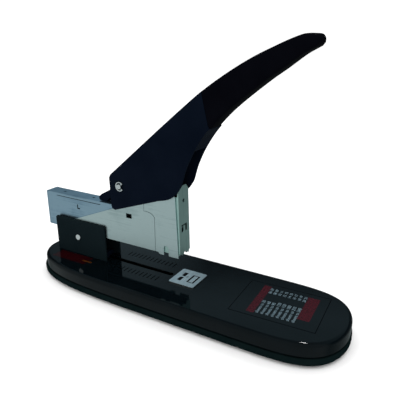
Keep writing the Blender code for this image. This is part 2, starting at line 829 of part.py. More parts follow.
def make_bracket():
    corner = BRACKET_CORNER
    outline = [
        (BRACKET_REAR_X, SEAT_Z),
        (BRACKET_FRONT_X, SEAT_Z),
        (BRACKET_FRONT_X, BRACKET_TOP - corner),
        (BRACKET_FRONT_X - corner, BRACKET_TOP),
        (BRACKET_REAR_X + corner, BRACKET_TOP),
        (BRACKET_REAR_X, BRACKET_TOP - corner),
    ]
    bore = circle(PIVOT_X, PIVOT_Z, BORE_RADIUS)
    bracket = upright("rear_bracket", [outline, bore], 2 * BRACKET_HALF, 0, "black_steel")
    inner = BRACKET_HALF - BRACKET_WALL
    well = block(
        "bracket_well",
        (BRACKET_REAR_X - OVERRUN, -inner, SEAT_Z + BRACKET_FLOOR),
        (BRACKET_FRONT_X + OVERRUN, inner, BRACKET_TOP + OVERRUN),
    )
    mouth = block(
        "bracket_mouth",
        (BRACKET_FLOOR_X, -inner, SEAT_Z - OVERRUN),
        (BRACKET_FRONT_X + OVERRUN, inner, SEAT_Z + BRACKET_FLOOR + OVERRUN),
    )
    cut(bracket, well)
    cut(bracket, mouth)
    drill(bracket, rivet_places(), RIVET_RADIUS + GAP, SEAT_Z - OVERRUN, SEAT_Z + BRACKET_FLOOR + OVERRUN)
    top = SEAT_Z + BRACKET_FLOOR + GAP
    bottom = CHASSIS_TOP - CHASSIS_SHEET - GAP
    for number, (x, y) in enumerate(rivet_places(), 1):
        profile = [
            (0, top + RIVET_HEAD_HEIGHT),
            (RIVET_HEAD_RADIUS * RIVET_CROWN_SHARE, top + RIVET_HEAD_HEIGHT),
            (RIVET_HEAD_RADIUS, top + RIVET_HEAD_HEIGHT * RIVET_EDGE_SHARE),
            (RIVET_HEAD_RADIUS, top),
            (RIVET_RADIUS, top),
            (RIVET_RADIUS, bottom),
            (RIVET_HEAD_RADIUS, bottom),
            (RIVET_HEAD_RADIUS, bottom - RIVET_HEAD_HEIGHT),
            (0, bottom - RIVET_HEAD_HEIGHT),
        ]
        turned(f"bracket_rivet_{number}", profile, (x, y, 0), "Z", "bright_steel")


def pin_profile(half_grip):
    """A pin across two walls: a head past one wall, and a plain end past a clip on the other."""
    head = half_grip + GAP
    end = half_grip + 2 * GAP + CLIP_SHEET + PIN_TAIL
    edge = PIN_HEAD_HEIGHT / 3
    return [
        (0, head + PIN_HEAD_HEIGHT),
        (PIN_HEAD_RADIUS - edge, head + PIN_HEAD_HEIGHT),
        (PIN_HEAD_RADIUS, head + PIN_HEAD_HEIGHT - edge),
        (PIN_HEAD_RADIUS, head),
        (PIN_RADIUS, head),
        (PIN_RADIUS, edge - end),
        (PIN_RADIUS - edge, -end),
        (0, -end),
    ]


def clip_outline(x, z):
    """An E-clip: a ring with a mouth and three inner teeth."""
    inner = BORE_RADIUS
    relief = (BORE_RADIUS + CLIP_RADIUS) / 2
    stops = [360 * share for share in CLIP_STOP_SHARES]
    step = 360 * CLIP_STEP_SHARE
    points = arc(x, z, CLIP_RADIUS, stops[-1], stops[0], steps=ROUND_STEPS)
    for first, second, radius in zip(stops, stops[1:], (inner, relief, inner, relief, inner)):
        points += arc(x, z, radius, first - step, second + step, steps=TOOTH_STEPS)
    return points


def make_pivot():
    pin = turned(
        "pivot_pin", pin_profile(BRACKET_HALF), (PIVOT_X, 0, PIVOT_Z), "Y", "bright_steel"
    )
    pin.rotation_euler = (math.pi / 2, 0, 0)
    middle = BRACKET_HALF + GAP + CLIP_SHEET / 2
    upright("pivot_clip", [clip_outline(PIVOT_X, PIVOT_Z)], CLIP_SHEET, middle, "spring_steel")
    coil(
        "head_spring",
        HEAD_SPRING_RADIUS,
        HEAD_SPRING_WIRE,
        HEAD_SPRING_TURNS,
        (HEAD_SPRING_X, 0, SEAT_Z + BRACKET_FLOOR + GAP),
        (HEAD_SPRING_X, 0, MAGAZINE_BOTTOM - GAP),
        "spring_steel",
    )


def make_paper_stop():
    low_x, high_x = STOP_X - STOP_LENGTH / 2, STOP_X + STOP_LENGTH / 2
    stem = SLOT_WIDTH / 2 - GAP
    foot = CHASSIS_TOP - CHASSIS_SHEET
    profile = [
        (-STOP_HALF, SEAT_Z),
        (-stem, SEAT_Z),
        (-stem, foot),
        (stem, foot),
        (stem, SEAT_Z),
        (STOP_HALF, SEAT_Z),
        (STOP_HALF, SEAT_Z + STOP_HEIGHT - STOP_EDGE),
        (STOP_HALF - STOP_EDGE, SEAT_Z + STOP_HEIGHT),
        (STOP_EDGE - STOP_HALF, SEAT_Z + STOP_HEIGHT),
        (-STOP_HALF, SEAT_Z + STOP_HEIGHT - STOP_EDGE),
    ]
    bar = facing("paper_stop", [profile], low_x, high_x, "black_steel")
    clamp = block(
        "stop_clamp",
        (STOP_X - CLAMP_LENGTH / 2, -CLAMP_HALF, foot - GAP - CLAMP_THICKNESS),
        (STOP_X + CLAMP_LENGTH / 2, CLAMP_HALF, foot - GAP),
        "zinc_steel",
    )
    round_edges(clamp, CLAMP_THICKNESS / 4, segments=1)
    hang([bar, clamp], pivot_at("stop_slide", (STOP_X, 0, SEAT_Z)))


def make_housing():
    """The closed-top channel, with its top holes, fold slits and latch cuts."""
    inner, top = MAGAZINE_HALF - MAGAZINE_SHEET, MAGAZINE_TOP - MAGAZINE_SHEET
    half, fold = MAGAZINE_HALF, MAGAZINE_FOLD
    section = [
        (-half, MAGAZINE_BOTTOM),
        (-inner, MAGAZINE_BOTTOM),
        (-inner, top),
        (inner, top),
        (inner, MAGAZINE_BOTTOM),
        (half, MAGAZINE_BOTTOM),
        (half, MAGAZINE_TOP - fold),
        (half - fold, MAGAZINE_TOP),
        (fold - half, MAGAZINE_TOP),
        (-half, MAGAZINE_TOP - fold),
    ]
    housing = facing("magazine_housing", [section], MAGAZINE_REAR_X, MAGAZINE_FRONT_X, "blue_zinc")
    holes = [(TOP_HOLE_REAR_X, 0), (TOP_HOLE_FRONT_X, 0)]
    drill(housing, holes, TOP_HOLE_RADIUS, top - OVERRUN, MAGAZINE_TOP + OVERRUN)
    slit = rectangle(SLIT_REAR_X, SLIT_Z, SLIT_FRONT_X, SLIT_Z + SLIT_HEIGHT)
    latch = [
        (LATCH_X, LATCH_Z),
        (LATCH_X + LATCH_LENGTH, LATCH_Z),
        (LATCH_X + LATCH_LENGTH, LATCH_Z + LATCH_CUT),
        (LATCH_X + LATCH_CUT, LATCH_Z + LATCH_CUT),
        (LATCH_X + LATCH_CUT, LATCH_Z + LATCH_HEIGHT),
        (LATCH_X, LATCH_Z + LATCH_HEIGHT),
    ]
    across = 2 * (half + OVERRUN)
    cut(housing, upright("fold_slit", [slit], across, 0))
    cut(housing, upright("latch_cut", [latch], across, 0))
    cut(housing, upright("square_opening", [square_outline(SQUARE_MARGIN)], across, 0))
    return housing


def make_rail():
    wide, out, inner = STAPLE_HALF, RAIL_HALF, RAIL_HALF - RAIL_SHEET
    floor = MAGAZINE_BOTTOM + RAIL_FLOOR
    section = [
        (-wide, MAGAZINE_BOTTOM),
        (wide, MAGAZINE_BOTTOM),
        (wide, floor),
        (out, floor),
        (out, RAIL_TOP),
        (inner, RAIL_TOP),
        (inner, floor),
        (-inner, floor),
        (-inner, RAIL_TOP),
        (-out, RAIL_TOP),
        (-out, floor),
        (-wide, floor),
    ]
    return facing("magazine_rail", [section], RAIL_REAR_X, STRIP_FRONT, "zinc_steel")


def saddle(wire):
    """The staples' section: a crown with two legs astride the rail."""
    out, inner, crown = STAPLE_HALF, RAIL_HALF + GAP, CROWN_BOTTOM
    return [
        (-out, STAPLE_BOTTOM),
        (-inner, STAPLE_BOTTOM),
        (-inner, crown),
        (inner, crown),
        (inner, STAPLE_BOTTOM),
        (out, STAPLE_BOTTOM),
        (out, crown + wire),
        (-out, crown + wire),
    ]


def make_strip():
    return facing("staple_strip", [saddle(STAPLE_WIRE)], STRIP_REAR, STRIP_FRONT, "bright_steel")


def side_plate_outline():
    """Ear round the pivot, heel, shoulder, ear round the handle pin, then the seam down the front."""
    ear = EAR_RADIUS
    points = arc(PIVOT_X, PIVOT_Z, ear, 180, 360)
    points += [(PIVOT_X + ear, PLATE_BOTTOM), (SEAM_LOW_X - GAP, PLATE_BOTTOM)]
    points += seam_curve(-GAP)
    points += [(SEAM_HIGH_X - GAP, top_edge_z(SEAM_HIGH_X - GAP))]
    points += arc(HANDLE_X, HANDLE_Z, HANDLE_EAR_RADIUS, 82, 180)
    points += [(HANDLE_X - HANDLE_EAR_RADIUS, SHOULDER_Z + FOOT_CORNER), (SHOULDER_X, SHOULDER_Z)]
    points += [(PIVOT_X - ear, PLATE_HEEL_Z)]
    return points


def top_edge_z(x):
    """The straight top edge of the head, from the handle ear down to the front corner."""
    start_z = HANDLE_Z + HANDLE_EAR_RADIUS
    share = (x - HANDLE_X) / (CHEEK_TOP_X - HANDLE_X)
    return start_z + share * (CHEEK_TOP_Z - start_z)


def seam_curve(shift):
    """The seam between side plate and nose cheek: up, over backwards in a quarter bend, and up."""
    low_x, high_x = SEAM_LOW_X + shift, SEAM_HIGH_X + shift
    bend_x = (low_x - high_x) * SEAM_BEND_SHARE
    rise = SEAM_HIGH_Z - SEAM_BEND_Z
    points = [
        (
            low_x - bend_x * (1 - math.cos(math.radians(90 * i / ARC_STEPS))),
            SEAM_BEND_Z + shift + rise * math.sin(math.radians(90 * i / ARC_STEPS)),
        )
        for i in range(ARC_STEPS + 1)
    ]
    return points + [(high_x, SEAM_HIGH_Z + shift)]


def cheek_outline():
    """Front cheek: down the leaning front edge, along the notched foot and up the seam."""
    notch_front_x = NOTCH_REAR_X + NOTCH_WIDTH
    radius = NOTCH_WIDTH / 2
    middle_x = NOTCH_REAR_X + radius
    points = [(CHEEK_TOP_X, CHEEK_TOP_Z), (SEAM_HIGH_X, top_edge_z(SEAM_HIGH_X))]
    points += list(reversed(seam_curve(0.0)))
    points += [(SEAM_LOW_X, PLATE_BOTTOM), (FOOT_BACK_X, PLATE_BOTTOM)]
    points += [(FOOT_BACK_X + FOOT_CORNER, FOOT_BOTTOM), (NOTCH_REAR_X, FOOT_BOTTOM)]
    points += arc(middle_x, NOTCH_TOP - radius, radius, 180, 0)
    points += [(notch_front_x, FOOT_BOTTOM), (CHEEK_FRONT_X, FOOT_BOTTOM)]
    return points


def square_outline(grow=0.0):
    """The square hole low in the side plates."""
    along, up = SQUARE_LENGTH / 2 + grow, SQUARE_HEIGHT / 2 + grow
    return rectangle(SQUARE_X - along, SQUARE_Z - up, SQUARE_X + along, SQUARE_Z + up)


def make_side_plates():
    """The two light side plates and the two front cheeks, each pair alike on both sides."""
    square = square_outline()
    bores = [circle(PIVOT_X, PIVOT_Z, BORE_RADIUS), circle(HANDLE_X, HANDLE_Z, BORE_RADIUS)]
    made = []
    for side, word in ((-1, "near"), (1, "far")):
        outlines = [side_plate_outline(), square, *bores]
        middle = side * PLATE_MID
        made.append(upright(f"side_plate_{word}", outlines, PLATE_SHEET, middle, "zinc_steel"))
        made.append(
            upright(f"nose_cheek_{word}", [cheek_outline()], PLATE_SHEET, middle, "zinc_steel")
        )
    return made


def lean(thing):
    """Turns a piece or a cutter back, about the bottom of the front wall's inner face."""
    bpy.context.view_layer.update()
    foot = Matrix.Translation((NOSE_X, 0, NOSE_BOTTOM))
    turn = foot @ Matrix.Rotation(-NOSE_LEAN, 4, "Y") @ foot.inverted()
    thing.matrix_world = turn @ thing.matrix_world
    return thing


def before_lean(x, z):
    """Where a point of the leaning nose lies while the nose still stands upright."""
    run, rise = x - NOSE_X, z - NOSE_BOTTOM
    along, up = math.cos(NOSE_LEAN), math.sin(NOSE_LEAN)
    return NOSE_X + run * along + rise * up, NOSE_BOTTOM - run * up + rise * along


def nose_face_x(z):
    return NOSE_X - (z - NOSE_BOTTOM) * math.tan(NOSE_LEAN)


def nose_outline():
    """The front wall seen from the front, with its four corners cut off."""
    half = NOSE_HALF
    low, high = half - NOSE_LOW_CORNER_WIDTH, half - NOSE_TOP_CORNER_WIDTH
    low_z, high_z = NOSE_BOTTOM + NOSE_LOW_CORNER_HEIGHT, NOSE_TOP - NOSE_TOP_CORNER_HEIGHT
    right = [(low, NOSE_BOTTOM), (half, low_z), (half, high_z), (high, NOSE_TOP)]
    return right + [(-y, z) for y, z in reversed(right)]


def make_front_plate():
    """The nose: a wide leaning wall with two flanges running back between the cheeks."""
    rear_x = MAGAZINE_FRONT_X + GAP
    front_x = NOSE_X + NOSE_SHEET
    foot_z = NOSE_BOTTOM + JOIN
    flange = [
        (rear_x, foot_z),
        (nose_face_x(foot_z) + JOIN, foot_z),
        (nose_face_x(CHEEK_TOP_Z) + JOIN, CHEEK_TOP_Z),
        (rear_x, NOSE_REAR_TOP),
    ]
    nose = lean(facing("front_plate", [nose_outline()], NOSE_X, front_x, "zinc_steel"))
    for side, word in ((-1, "near"), (1, "far")):
        middle = side * (MAGAZINE_HALF - MAGAZINE_SHEET / 2)
        join(nose, upright(f"nose_flange_{word}", [flange], MAGAZINE_SHEET, middle))
    low_z, high_z = WINDOW_Z - WINDOW_HEIGHT / 2, WINDOW_Z + WINDOW_HEIGHT / 2
    tab_z = high_z - WINDOW_TAB_GAP
    window = [
        (-WINDOW_HALF, low_z),
        (-WINDOW_TAB_HALF, low_z),
        (-WINDOW_TAB_HALF, tab_z),
        (WINDOW_TAB_HALF, tab_z),
        (WINDOW_TAB_HALF, low_z),
        (WINDOW_HALF, low_z),
        (WINDOW_HALF, high_z),
        (-WINDOW_HALF, high_z),
    ]
    hole = circle(0, NOSE_HOLE_Z, NOSE_HOLE_RADIUS)
    notch = circle(0, NOSE_BOTTOM, NOSE_NOTCH_RADIUS)
    rear, front = NOSE_X - GAP / 2, front_x + OVERRUN
    for name, outline in (("nose_window", window), ("nose_hole", hole), ("nose_notch", notch)):
        cut(nose, lean(facing(name, [outline], rear, front)))
    return nose


def make_handle_pin():
    pin = turned(
        "handle_pin", pin_profile(HANDLE_HALF), (HANDLE_X, 0, HANDLE_Z), "Y", "bright_steel"
    )
    middle = -(HANDLE_HALF + GAP + CLIP_SHEET / 2)
    clip = upright(
        "handle_pin_clip", [clip_outline(HANDLE_X, HANDLE_Z)], CLIP_SHEET, middle, "bright_steel"
    )
    return [pin, clip]


def lever_underside_z(x):
    """The drive lever's lower edge between hub and tip, from the same radii as its outline."""
    share = (x - HANDLE_X) / (DRIVE_PIN_X - HANDLE_X)
    centre = HANDLE_Z + share * (DRIVE_PIN_Z - HANDLE_Z)
    return centre - LEVER_HUB_RADIUS - share * (LEVER_TIP_RADIUS - LEVER_HUB_RADIUS)


def make_return_spring():
    return coil(
        "handle_spring",
        RETURN_SPRING_RADIUS,
        RETURN_SPRING_WIRE,
        RETURN_SPRING_TURNS,
        (RETURN_SPRING_X, 0, MAGAZINE_TOP + GAP),
        (RETURN_SPRING_X, 0, lever_underside_z(RETURN_SPRING_X) - GAP),
        "spring_steel",
    )


def make_driver():
    """The blade, and the carrier whose fork takes the drive pin. Both lean with the front wall."""
    half = STAPLE_HALF
    pin_x, pin_z = before_lean(DRIVE_PIN_X, DRIVE_PIN_Z)
    swung_x, _ = before_lean(SWUNG_PIN_X, SWUNG_PIN_Z)
    low, high = pin_z - CARRIER_HEIGHT / 2, pin_z + CARRIER_HEIGHT / 2
    blade = block(
        "driver_blade",
        (BLADE_REAR, -half, BLADE_BOTTOM),
        (BLADE_FRONT, half, high),
        "bright_steel",
    )
    front_x = BLADE_REAR - GAP
    rear_x = front_x - CARRIER_LENGTH
    slot = DRIVE_PIN_RADIUS + FORK_PLAY
    way = arc(pin_x, pin_z, slot, -90, 90) + arc(swung_x, pin_z, slot, 90, 270)
    outlines = [rectangle(rear_x, low, front_x, high), way]
    carrier = upright("driver_carrier", outlines, 2 * half, 0, "bright_steel")
    throat = LEVER_HALF + GAP
    hollow = block(
        "carrier_hollow",
        (rear_x - OVERRUN, -throat, low - OVERRUN),
        (front_x - CARRIER_WEB, throat, high + OVERRUN),
    )
    cut(carrier, hollow)
    for thing in (blade, carrier, hollow):
        lean(thing)
    hang([blade, carrier], pivot_at("driver_slide", (BLADE_REAR, 0, BLADE_BOTTOM)))


def shares_to_points(shares):
    return [(HANDLE_X + x * HANDLE_REACH, HANDLE_Z + z * HANDLE_RISE) for x, z in shares]


def smooth(points, steps):
    """A Catmull-Rom curve through the points."""
    ends = [points[0], *points, points[-1]]
    curve = []
    for a, b, c, d in zip(ends, ends[1:], ends[2:], ends[3:]):
        for i in range(steps):
            t = i / steps
            curve.append(
                tuple(
                    0.5
                    * (
                        2 * q
                        + (r - p) * t
                        + (2 * p - 5 * q + 4 * r - s) * t * t
                        + (3 * q - p - 3 * r + s) * t**3
                    )
                    for p, q, r, s in zip(a, b, c, d)
                )
            )
    return [*curve, points[-1]]


def offset_line(points, distance):
    """The line moved to its right by distance, seen along its direction."""
    moved = []
    for i, (x, z) in enumerate(points):
        before, after = points[max(i - 1, 0)], points[min(i + 1, len(points) - 1)]
        run, rise = after[0] - before[0], after[1] - before[1]
        size = math.hypot(run, rise)
        moved.append((x + distance * rise / size, z - distance * run / size))
    return moved


def bevel_rims(thing, rim_points, radius):
    """Rounds the long edges of an upright solid that run along the given outline points."""
    keys = {(round(x / GAP * 10), round(z / GAP * 10)) for x, z in rim_points}

    def on_rim(vert):
        place = thing.matrix_world @ vert.co
        return (round(place.x / GAP * 10), round(place.z / GAP * 10)) in keys

    bpy.context.view_layer.update()
    work = bmesh.new()
    work.from_mesh(thing.data)
    edges = [
        e
        for e in work.edges
        if on_rim(e.verts[0])
        and on_rim(e.verts[1])
        and abs(e.verts[0].co.z - e.verts[1].co.z) < GAP
        and len({f.normal.to_tuple(1) for f in e.link_faces}) > 1
        and any(abs(f.normal.z) > 0.9 for f in e.link_faces)
    ]
    bmesh.ops.bevel(
        work, geom=edges, offset=radius, segments=3, profile=0.5, affect="EDGES", material=-1
    )
    work.to_mesh(thing.data)
    work.free()


def trim(thing, place, normal):
    """Cuts away what lies past a plane, and closes the cut."""
    bpy.context.view_layer.update()
    inverse = thing.matrix_world.inverted()
    work = bmesh.new()
    work.from_mesh(thing.data)
    made = bmesh.ops.bisect_plane(
        work,
        geom=[*work.verts, *work.edges, *work.faces],
        dist=GAP / 1000,
        plane_co=inverse @ Vector(place),
        plane_no=inverse.to_3x3() @ Vector(normal),
        clear_outer=True,
    )
    rim = [e for e in made["geom_cut"] if isinstance(e, bmesh.types.BMEdge)]
    bmesh.ops.holes_fill(work, edges=rim)
    bmesh.ops.recalc_face_normals(work, faces=work.faces)
    work.to_mesh(thing.data)
    work.free()


def seam_frame():
    """The middle of the seam between lever and grip, and the direction that runs up the handle."""
    (top_x, top_z), (low_x, low_z) = shares_to_points(GRIP_SEAM_SHARES)
    middle = Vector(((top_x + low_x) / 2, 0, (top_z + low_z) / 2))
    down = Vector((low_x - top_x, 0, low_z - top_z)).normalized()
    return middle, Vector((-down.z, 0, down.x))


def handle_solid(name, finish_name):
    back = smooth(shares_to_points(BACK_EDGE_SHARES), CURVE_STEPS)
    front = smooth(shares_to_points(FRONT_EDGE_SHARES), CURVE_STEPS)
    outline = back + front + shares_to_points(HEEL_SHARES)
    solid = upright(name, [outline], 2 * HANDLE_HALF, 0, finish_name)
    return solid, back, front


def below(points, up, limit):
    """The points that lie short of a plane square to up."""
    return [(x, z) for x, z in points if Vector((x, 0, z)).dot(up) < limit]


def tang_block(name, grow):
    middle, _ = seam_frame()
    (aim_x, aim_z), *_ = shares_to_points(TANG_AIM_SHARES)
    reach = TANG_LENGTH / 2 + grow
    height, half = TANG_HEIGHT / 2 + grow, TANG_HALF + grow
    tang = block(name, (-reach, -half, -height), (reach, half, height))
    tang.location = middle
    tang.rotation_euler = (0, -math.atan2(aim_z - middle.z, aim_x - middle.x), 0)
    return tang


def make_handle():
    """The steel channel up to the seam, with a tang that the grip slides onto."""
    middle, up = seam_frame()
    lever, back, front = handle_solid("handle_lever", "black_steel")
    bevel_rims(lever, back, HANDLE_EDGE)
    trim(lever, middle, up)
    inner = HANDLE_HALF - HANDLE_SHEET
    limit = middle.dot(up) - HANDLE_END_WALL
    ceiling = below(offset_line(back, HANDLE_SHEET), up, limit)
    floor = below(offset_line(front, -HOLLOW_OVERRUN), up, limit)
    rear_x = HANDLE_X + HEEL_SHARES[-1][0] * HANDLE_REACH - HOLLOW_OVERRUN
    low_z = HANDLE_Z + HEEL_SHARES[0][1] * HANDLE_RISE - HOLLOW_OVERRUN
    hollow = [(rear_x, ceiling[0][1]), *ceiling, *floor, (floor[-1][0], low_z), (rear_x, low_z)]
    cut(lever, upright("handle_hollow", [hollow], 2 * inner, 0))
    bore = circle(HANDLE_X, HANDLE_Z, BORE_RADIUS)
    cut(lever, upright("handle_bore", [bore], 2 * (HANDLE_HALF + OVERRUN), 0))
    join(lever, tang_block("handle_tang", 0.0))

    grip, back, front = handle_solid("handle_grip", "grip_black")
    bevel_rims(grip, back + front, GRIP_EDGE)
    trim(grip, middle + up * GAP, -up)
    taper(grip, middle, up)
    cut(grip, tang_block("grip_socket", GAP))
    return [lever, grip]


def taper(grip, middle, up):
    """Draws the grip in sideways towards its tip."""
    tip = Vector((HANDLE_X + HANDLE_REACH, 0, HANDLE_Z + HANDLE_RISE))
    reach = (tip - middle).dot(up)
    for vert in grip.data.vertices:
        place = grip.matrix_world @ vert.co
        share = max(0, (place - middle).dot(up) / reach)
        vert.co.z *= 1 - GRIP_TAPER_SHARE * share**2


def make_drive_lever():
    """The inner lever: tip on the drive pin, hub on the handle pin, lobe under the web, and tail."""
    tilt = math.degrees(DRIVE_REST_ANGLE)
    tail_x = HANDLE_X - TAIL_REACH
    tail_z = MAGAZINE_TOP + GAP
    outline = arc(DRIVE_PIN_X, DRIVE_PIN_Z, LEVER_TIP_RADIUS, tilt - 90, tilt + 90)
    outline += list(reversed(shares_to_points(LEVER_BACK_SHARES)))
    outline += [(tail_x, tail_z + TAIL_RISE)]
    outline += arc(tail_x + TAIL_WIDTH / 4, tail_z + TAIL_WIDTH / 4, TAIL_WIDTH / 4, 180, 270, 4)
    outline += [(tail_x + TAIL_WIDTH, tail_z)]
    outline += arc(HANDLE_X, HANDLE_Z, LEVER_HUB_RADIUS, 205, tilt + 270)
    bores = [
        circle(HANDLE_X, HANDLE_Z, BORE_RADIUS),
        circle(DRIVE_PIN_X, DRIVE_PIN_Z, DRIVE_PIN_RADIUS + GAP),
    ]
    lever = upright("drive_lever", [outline, *bores], 2 * LEVER_HALF, 0, "black_steel")
    half = STAPLE_HALF - GAP
    pin = turned(
        "drive_pin",
        rod(DRIVE_PIN_RADIUS, -half, half),
        (DRIVE_PIN_X, 0, DRIVE_PIN_Z),
        "Y",
        "bright_steel",
    )
    return [lever, pin]


def make_loader():
    """What comes out at the rear for loading: cap, guide rod with its head, pusher and spring."""
    half, corner = MAGAZINE_HALF, CAP_CORNER
    rear_x = CAP_FRONT - CAP_LENGTH
    outline = [
        (rear_x + corner, -half),
        (CAP_FRONT, -half),
        (CAP_FRONT, half),
        (rear_x + corner, half),
        (rear_x, half - corner),
        (rear_x, corner - half),
    ]
    cap = lying("rear_cap", [outline], MAGAZINE_BOTTOM, MAGAZINE_TOP, "blue_zinc")
    plug = block(
        "cap_plug",
        (CAP_FRONT - JOIN, -STAPLE_HALF, MAGAZINE_BOTTOM + RAIL_FLOOR),
        (PLUG_FRONT, STAPLE_HALF, MAGAZINE_TOP - MAGAZINE_SHEET - GAP),
    )
    join(cap, plug)
    rod_rear = PLUG_FRONT + GAP
    guide = turned(
        "guide_rod",
        rod(ROD_RADIUS, rod_rear, ROD_FRONT_X),
        (0, 0, ROD_Z),
        "X",
        "bright_steel",
    )
    head = turned(
        "rod_head",
        rod(ROD_HEAD_RADIUS, ROD_FRONT_X + GAP, ROD_FRONT_X + GAP + ROD_HEAD_LENGTH),
        (0, 0, ROD_Z),
        "X",
        "bright_steel",
    )
    tongue = RAIL_HALF - RAIL_SHEET - GAP
    pusher = facing("pusher", [saddle(STAPLE_WIRE)], PUSHER_REAR, PUSHER_FRONT, "zinc_steel")
    web = block(
        "pusher_web",
        (PUSHER_REAR, -tongue, CROWN_BOTTOM - PUSHER_DEPTH),
        (PUSHER_FRONT, tongue, CROWN_BOTTOM + JOIN),
    )
    join(pusher, web)
    bore = circle(0, ROD_Z, ROD_RADIUS + GAP)
    cut(pusher, facing("pusher_bore", [bore], PUSHER_REAR - OVERRUN, PUSHER_FRONT + OVERRUN))
    spring = coil(
        "pusher_spring",
        PUSHER_SPRING_RADIUS,
        PUSHER_SPRING_WIRE,
        PUSHER_SPRING_TURNS,
        (rod_rear, 0, ROD_Z),
        (PUSHER_REAR - GAP, 0, ROD_Z),
        "spring_steel",
    )
    pieces = [cap, guide, head, pusher, spring]
    hang(pieces, pivot_at("loader_slide", (CAP_FRONT, 0, ROD_Z)))


def main():
    make_base_tray()
    make_chassis()
    make_base_cover()
    make_feet_and_screws()
    make_anvil()
    make_bracket()
    make_pivot()
    make_paper_stop()
    head = [make_housing(), make_rail(), make_strip(), make_front_plate(), make_return_spring()]
    head += make_side_plates()
    head += make_handle_pin()
    hang(head, pivot_at("head_pivot", (PIVOT_X, 0, PIVOT_Z)))
    make_driver()
    handle = make_handle() + make_drive_lever()
    hang(handle, pivot_at("handle_pivot", (HANDLE_X, 0, HANDLE_Z)))
    make_loader()


main()
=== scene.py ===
"""Looks of the heavy-duty stapler: finishes, fine edges, printed table, floor, lights and camera.

Everything is in metres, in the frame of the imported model: X runs forward along the base and Z up.
"""

import json
import math

import bmesh
import bpy
from mathutils import Matrix, Vector

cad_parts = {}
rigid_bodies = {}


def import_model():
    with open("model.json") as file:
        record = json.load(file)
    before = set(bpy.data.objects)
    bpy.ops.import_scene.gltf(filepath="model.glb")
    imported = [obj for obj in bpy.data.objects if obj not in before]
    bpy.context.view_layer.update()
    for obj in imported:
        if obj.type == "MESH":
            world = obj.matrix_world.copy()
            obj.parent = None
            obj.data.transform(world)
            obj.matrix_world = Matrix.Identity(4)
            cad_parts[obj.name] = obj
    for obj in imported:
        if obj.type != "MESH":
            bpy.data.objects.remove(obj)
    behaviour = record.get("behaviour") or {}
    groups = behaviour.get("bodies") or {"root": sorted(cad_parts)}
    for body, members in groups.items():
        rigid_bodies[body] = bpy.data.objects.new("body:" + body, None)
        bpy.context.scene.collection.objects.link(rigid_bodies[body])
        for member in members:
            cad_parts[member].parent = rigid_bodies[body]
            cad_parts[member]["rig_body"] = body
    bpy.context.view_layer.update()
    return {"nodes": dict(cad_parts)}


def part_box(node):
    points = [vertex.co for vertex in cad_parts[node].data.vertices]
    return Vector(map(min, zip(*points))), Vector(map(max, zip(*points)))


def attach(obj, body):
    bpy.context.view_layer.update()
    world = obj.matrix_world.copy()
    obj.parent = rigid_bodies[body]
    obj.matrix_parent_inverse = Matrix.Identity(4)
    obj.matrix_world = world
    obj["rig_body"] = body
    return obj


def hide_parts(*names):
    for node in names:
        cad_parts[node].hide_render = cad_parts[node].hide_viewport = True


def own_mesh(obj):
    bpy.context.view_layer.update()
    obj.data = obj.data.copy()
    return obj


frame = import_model()

MM = 0.001
MERGE = 0.002 * MM

# Camera, as the photograph was taken
CAMERA_PLACE = (0.200304, -0.305378, 0.219457)
CAMERA_FORWARD = (-0.4730, 0.8166, -0.3307)
CAMERA_RIGHT = (0.8653, 0.5012, 0.0)
CAMERA_UP = (-0.1657, 0.2862, 0.9437)
CAMERA_LENS = 41.469
CAMERA_SENSOR = 36.0

# Floor and light
FLOOR_HALF = 12.0
WORLD_STRENGTH = 1.12
LAMP_AIM = (0, 0, 0.08)
OVERHEAD_PLACE = (0.1, 0.1, 1.7)
OVERHEAD_SIZE = (2.4, 2.4)
OVERHEAD_WATTS = 14.0
FRONT_LEFT_PLACE = (-0.9, -1.3, 0.9)
FRONT_LEFT_SIZE = (1.2, 1.0)
FRONT_LEFT_WATTS = 4.0
FLASH_PLACE = (0.12, 0.12, 0.6)
FLASH_AIM = (0.12, -0.04, 0.02)
FLASH_SIZE = (0.05, 0.03)
FLASH_WATTS = 1.4
ROOM_RADIUS = 4.0
ROOM_BACK = (0.245, 0.34, 0.385, 1)
ROOM_CORNER = (0.03, 0.03, 0.03, 1)  # behind, at the far left
ROOM_DIM = (0.05, 0.055, 0.06, 1)  # behind, low and straight ahead
ROOM_FRONT = (0.42, 0.47, 0.47, 1)
ROOM_TOP = (0.25, 0.27, 0.28, 1)
ROOM_LOW = (0.16, 0.19, 0.19, 1)  # behind, below the table's level
ROOM_BACK_SPAN = (-0.80, -0.62)
ROOM_FRONT_SPAN = (-0.25, 0.05)
ROOM_TOP_SPAN = (0.75, 0.95)
ROOM_LOW_SPAN = (-0.25, 0.0)
ROOM_DIM_RISE = (0.46, 0.54)
ROOM_DIM_SIDE = (-0.53, -0.42)

# Base shells: two super-elliptic ends that meet at the widest point
PLAN_STEPS = 360
WIDEST_X = 43.0 * MM
FRONT_POWER = 6.6
REAR_POWER = 6.0
COVER_WALL = 2.0 * MM
COVER_EDGE = 3.2 * MM
COVER_LIP_HEIGHT = 1.0 * MM
COVER_LIP_INSET = 0.9 * MM
TRAY_WALL = 2.0 * MM
TRAY_EDGE = 2.4 * MM
TRAY_RIM = 0.8 * MM
SLOT_REAR_X = -88.0 * MM
SLOT_FRONT_X = -4.3 * MM
SLOT_WIDTH = 5.0 * MM
CUT_OVERRUN = 2.0 * MM
ANVIL_GAP = 0.3 * MM
ANVIL_CORNER = 1.8 * MM

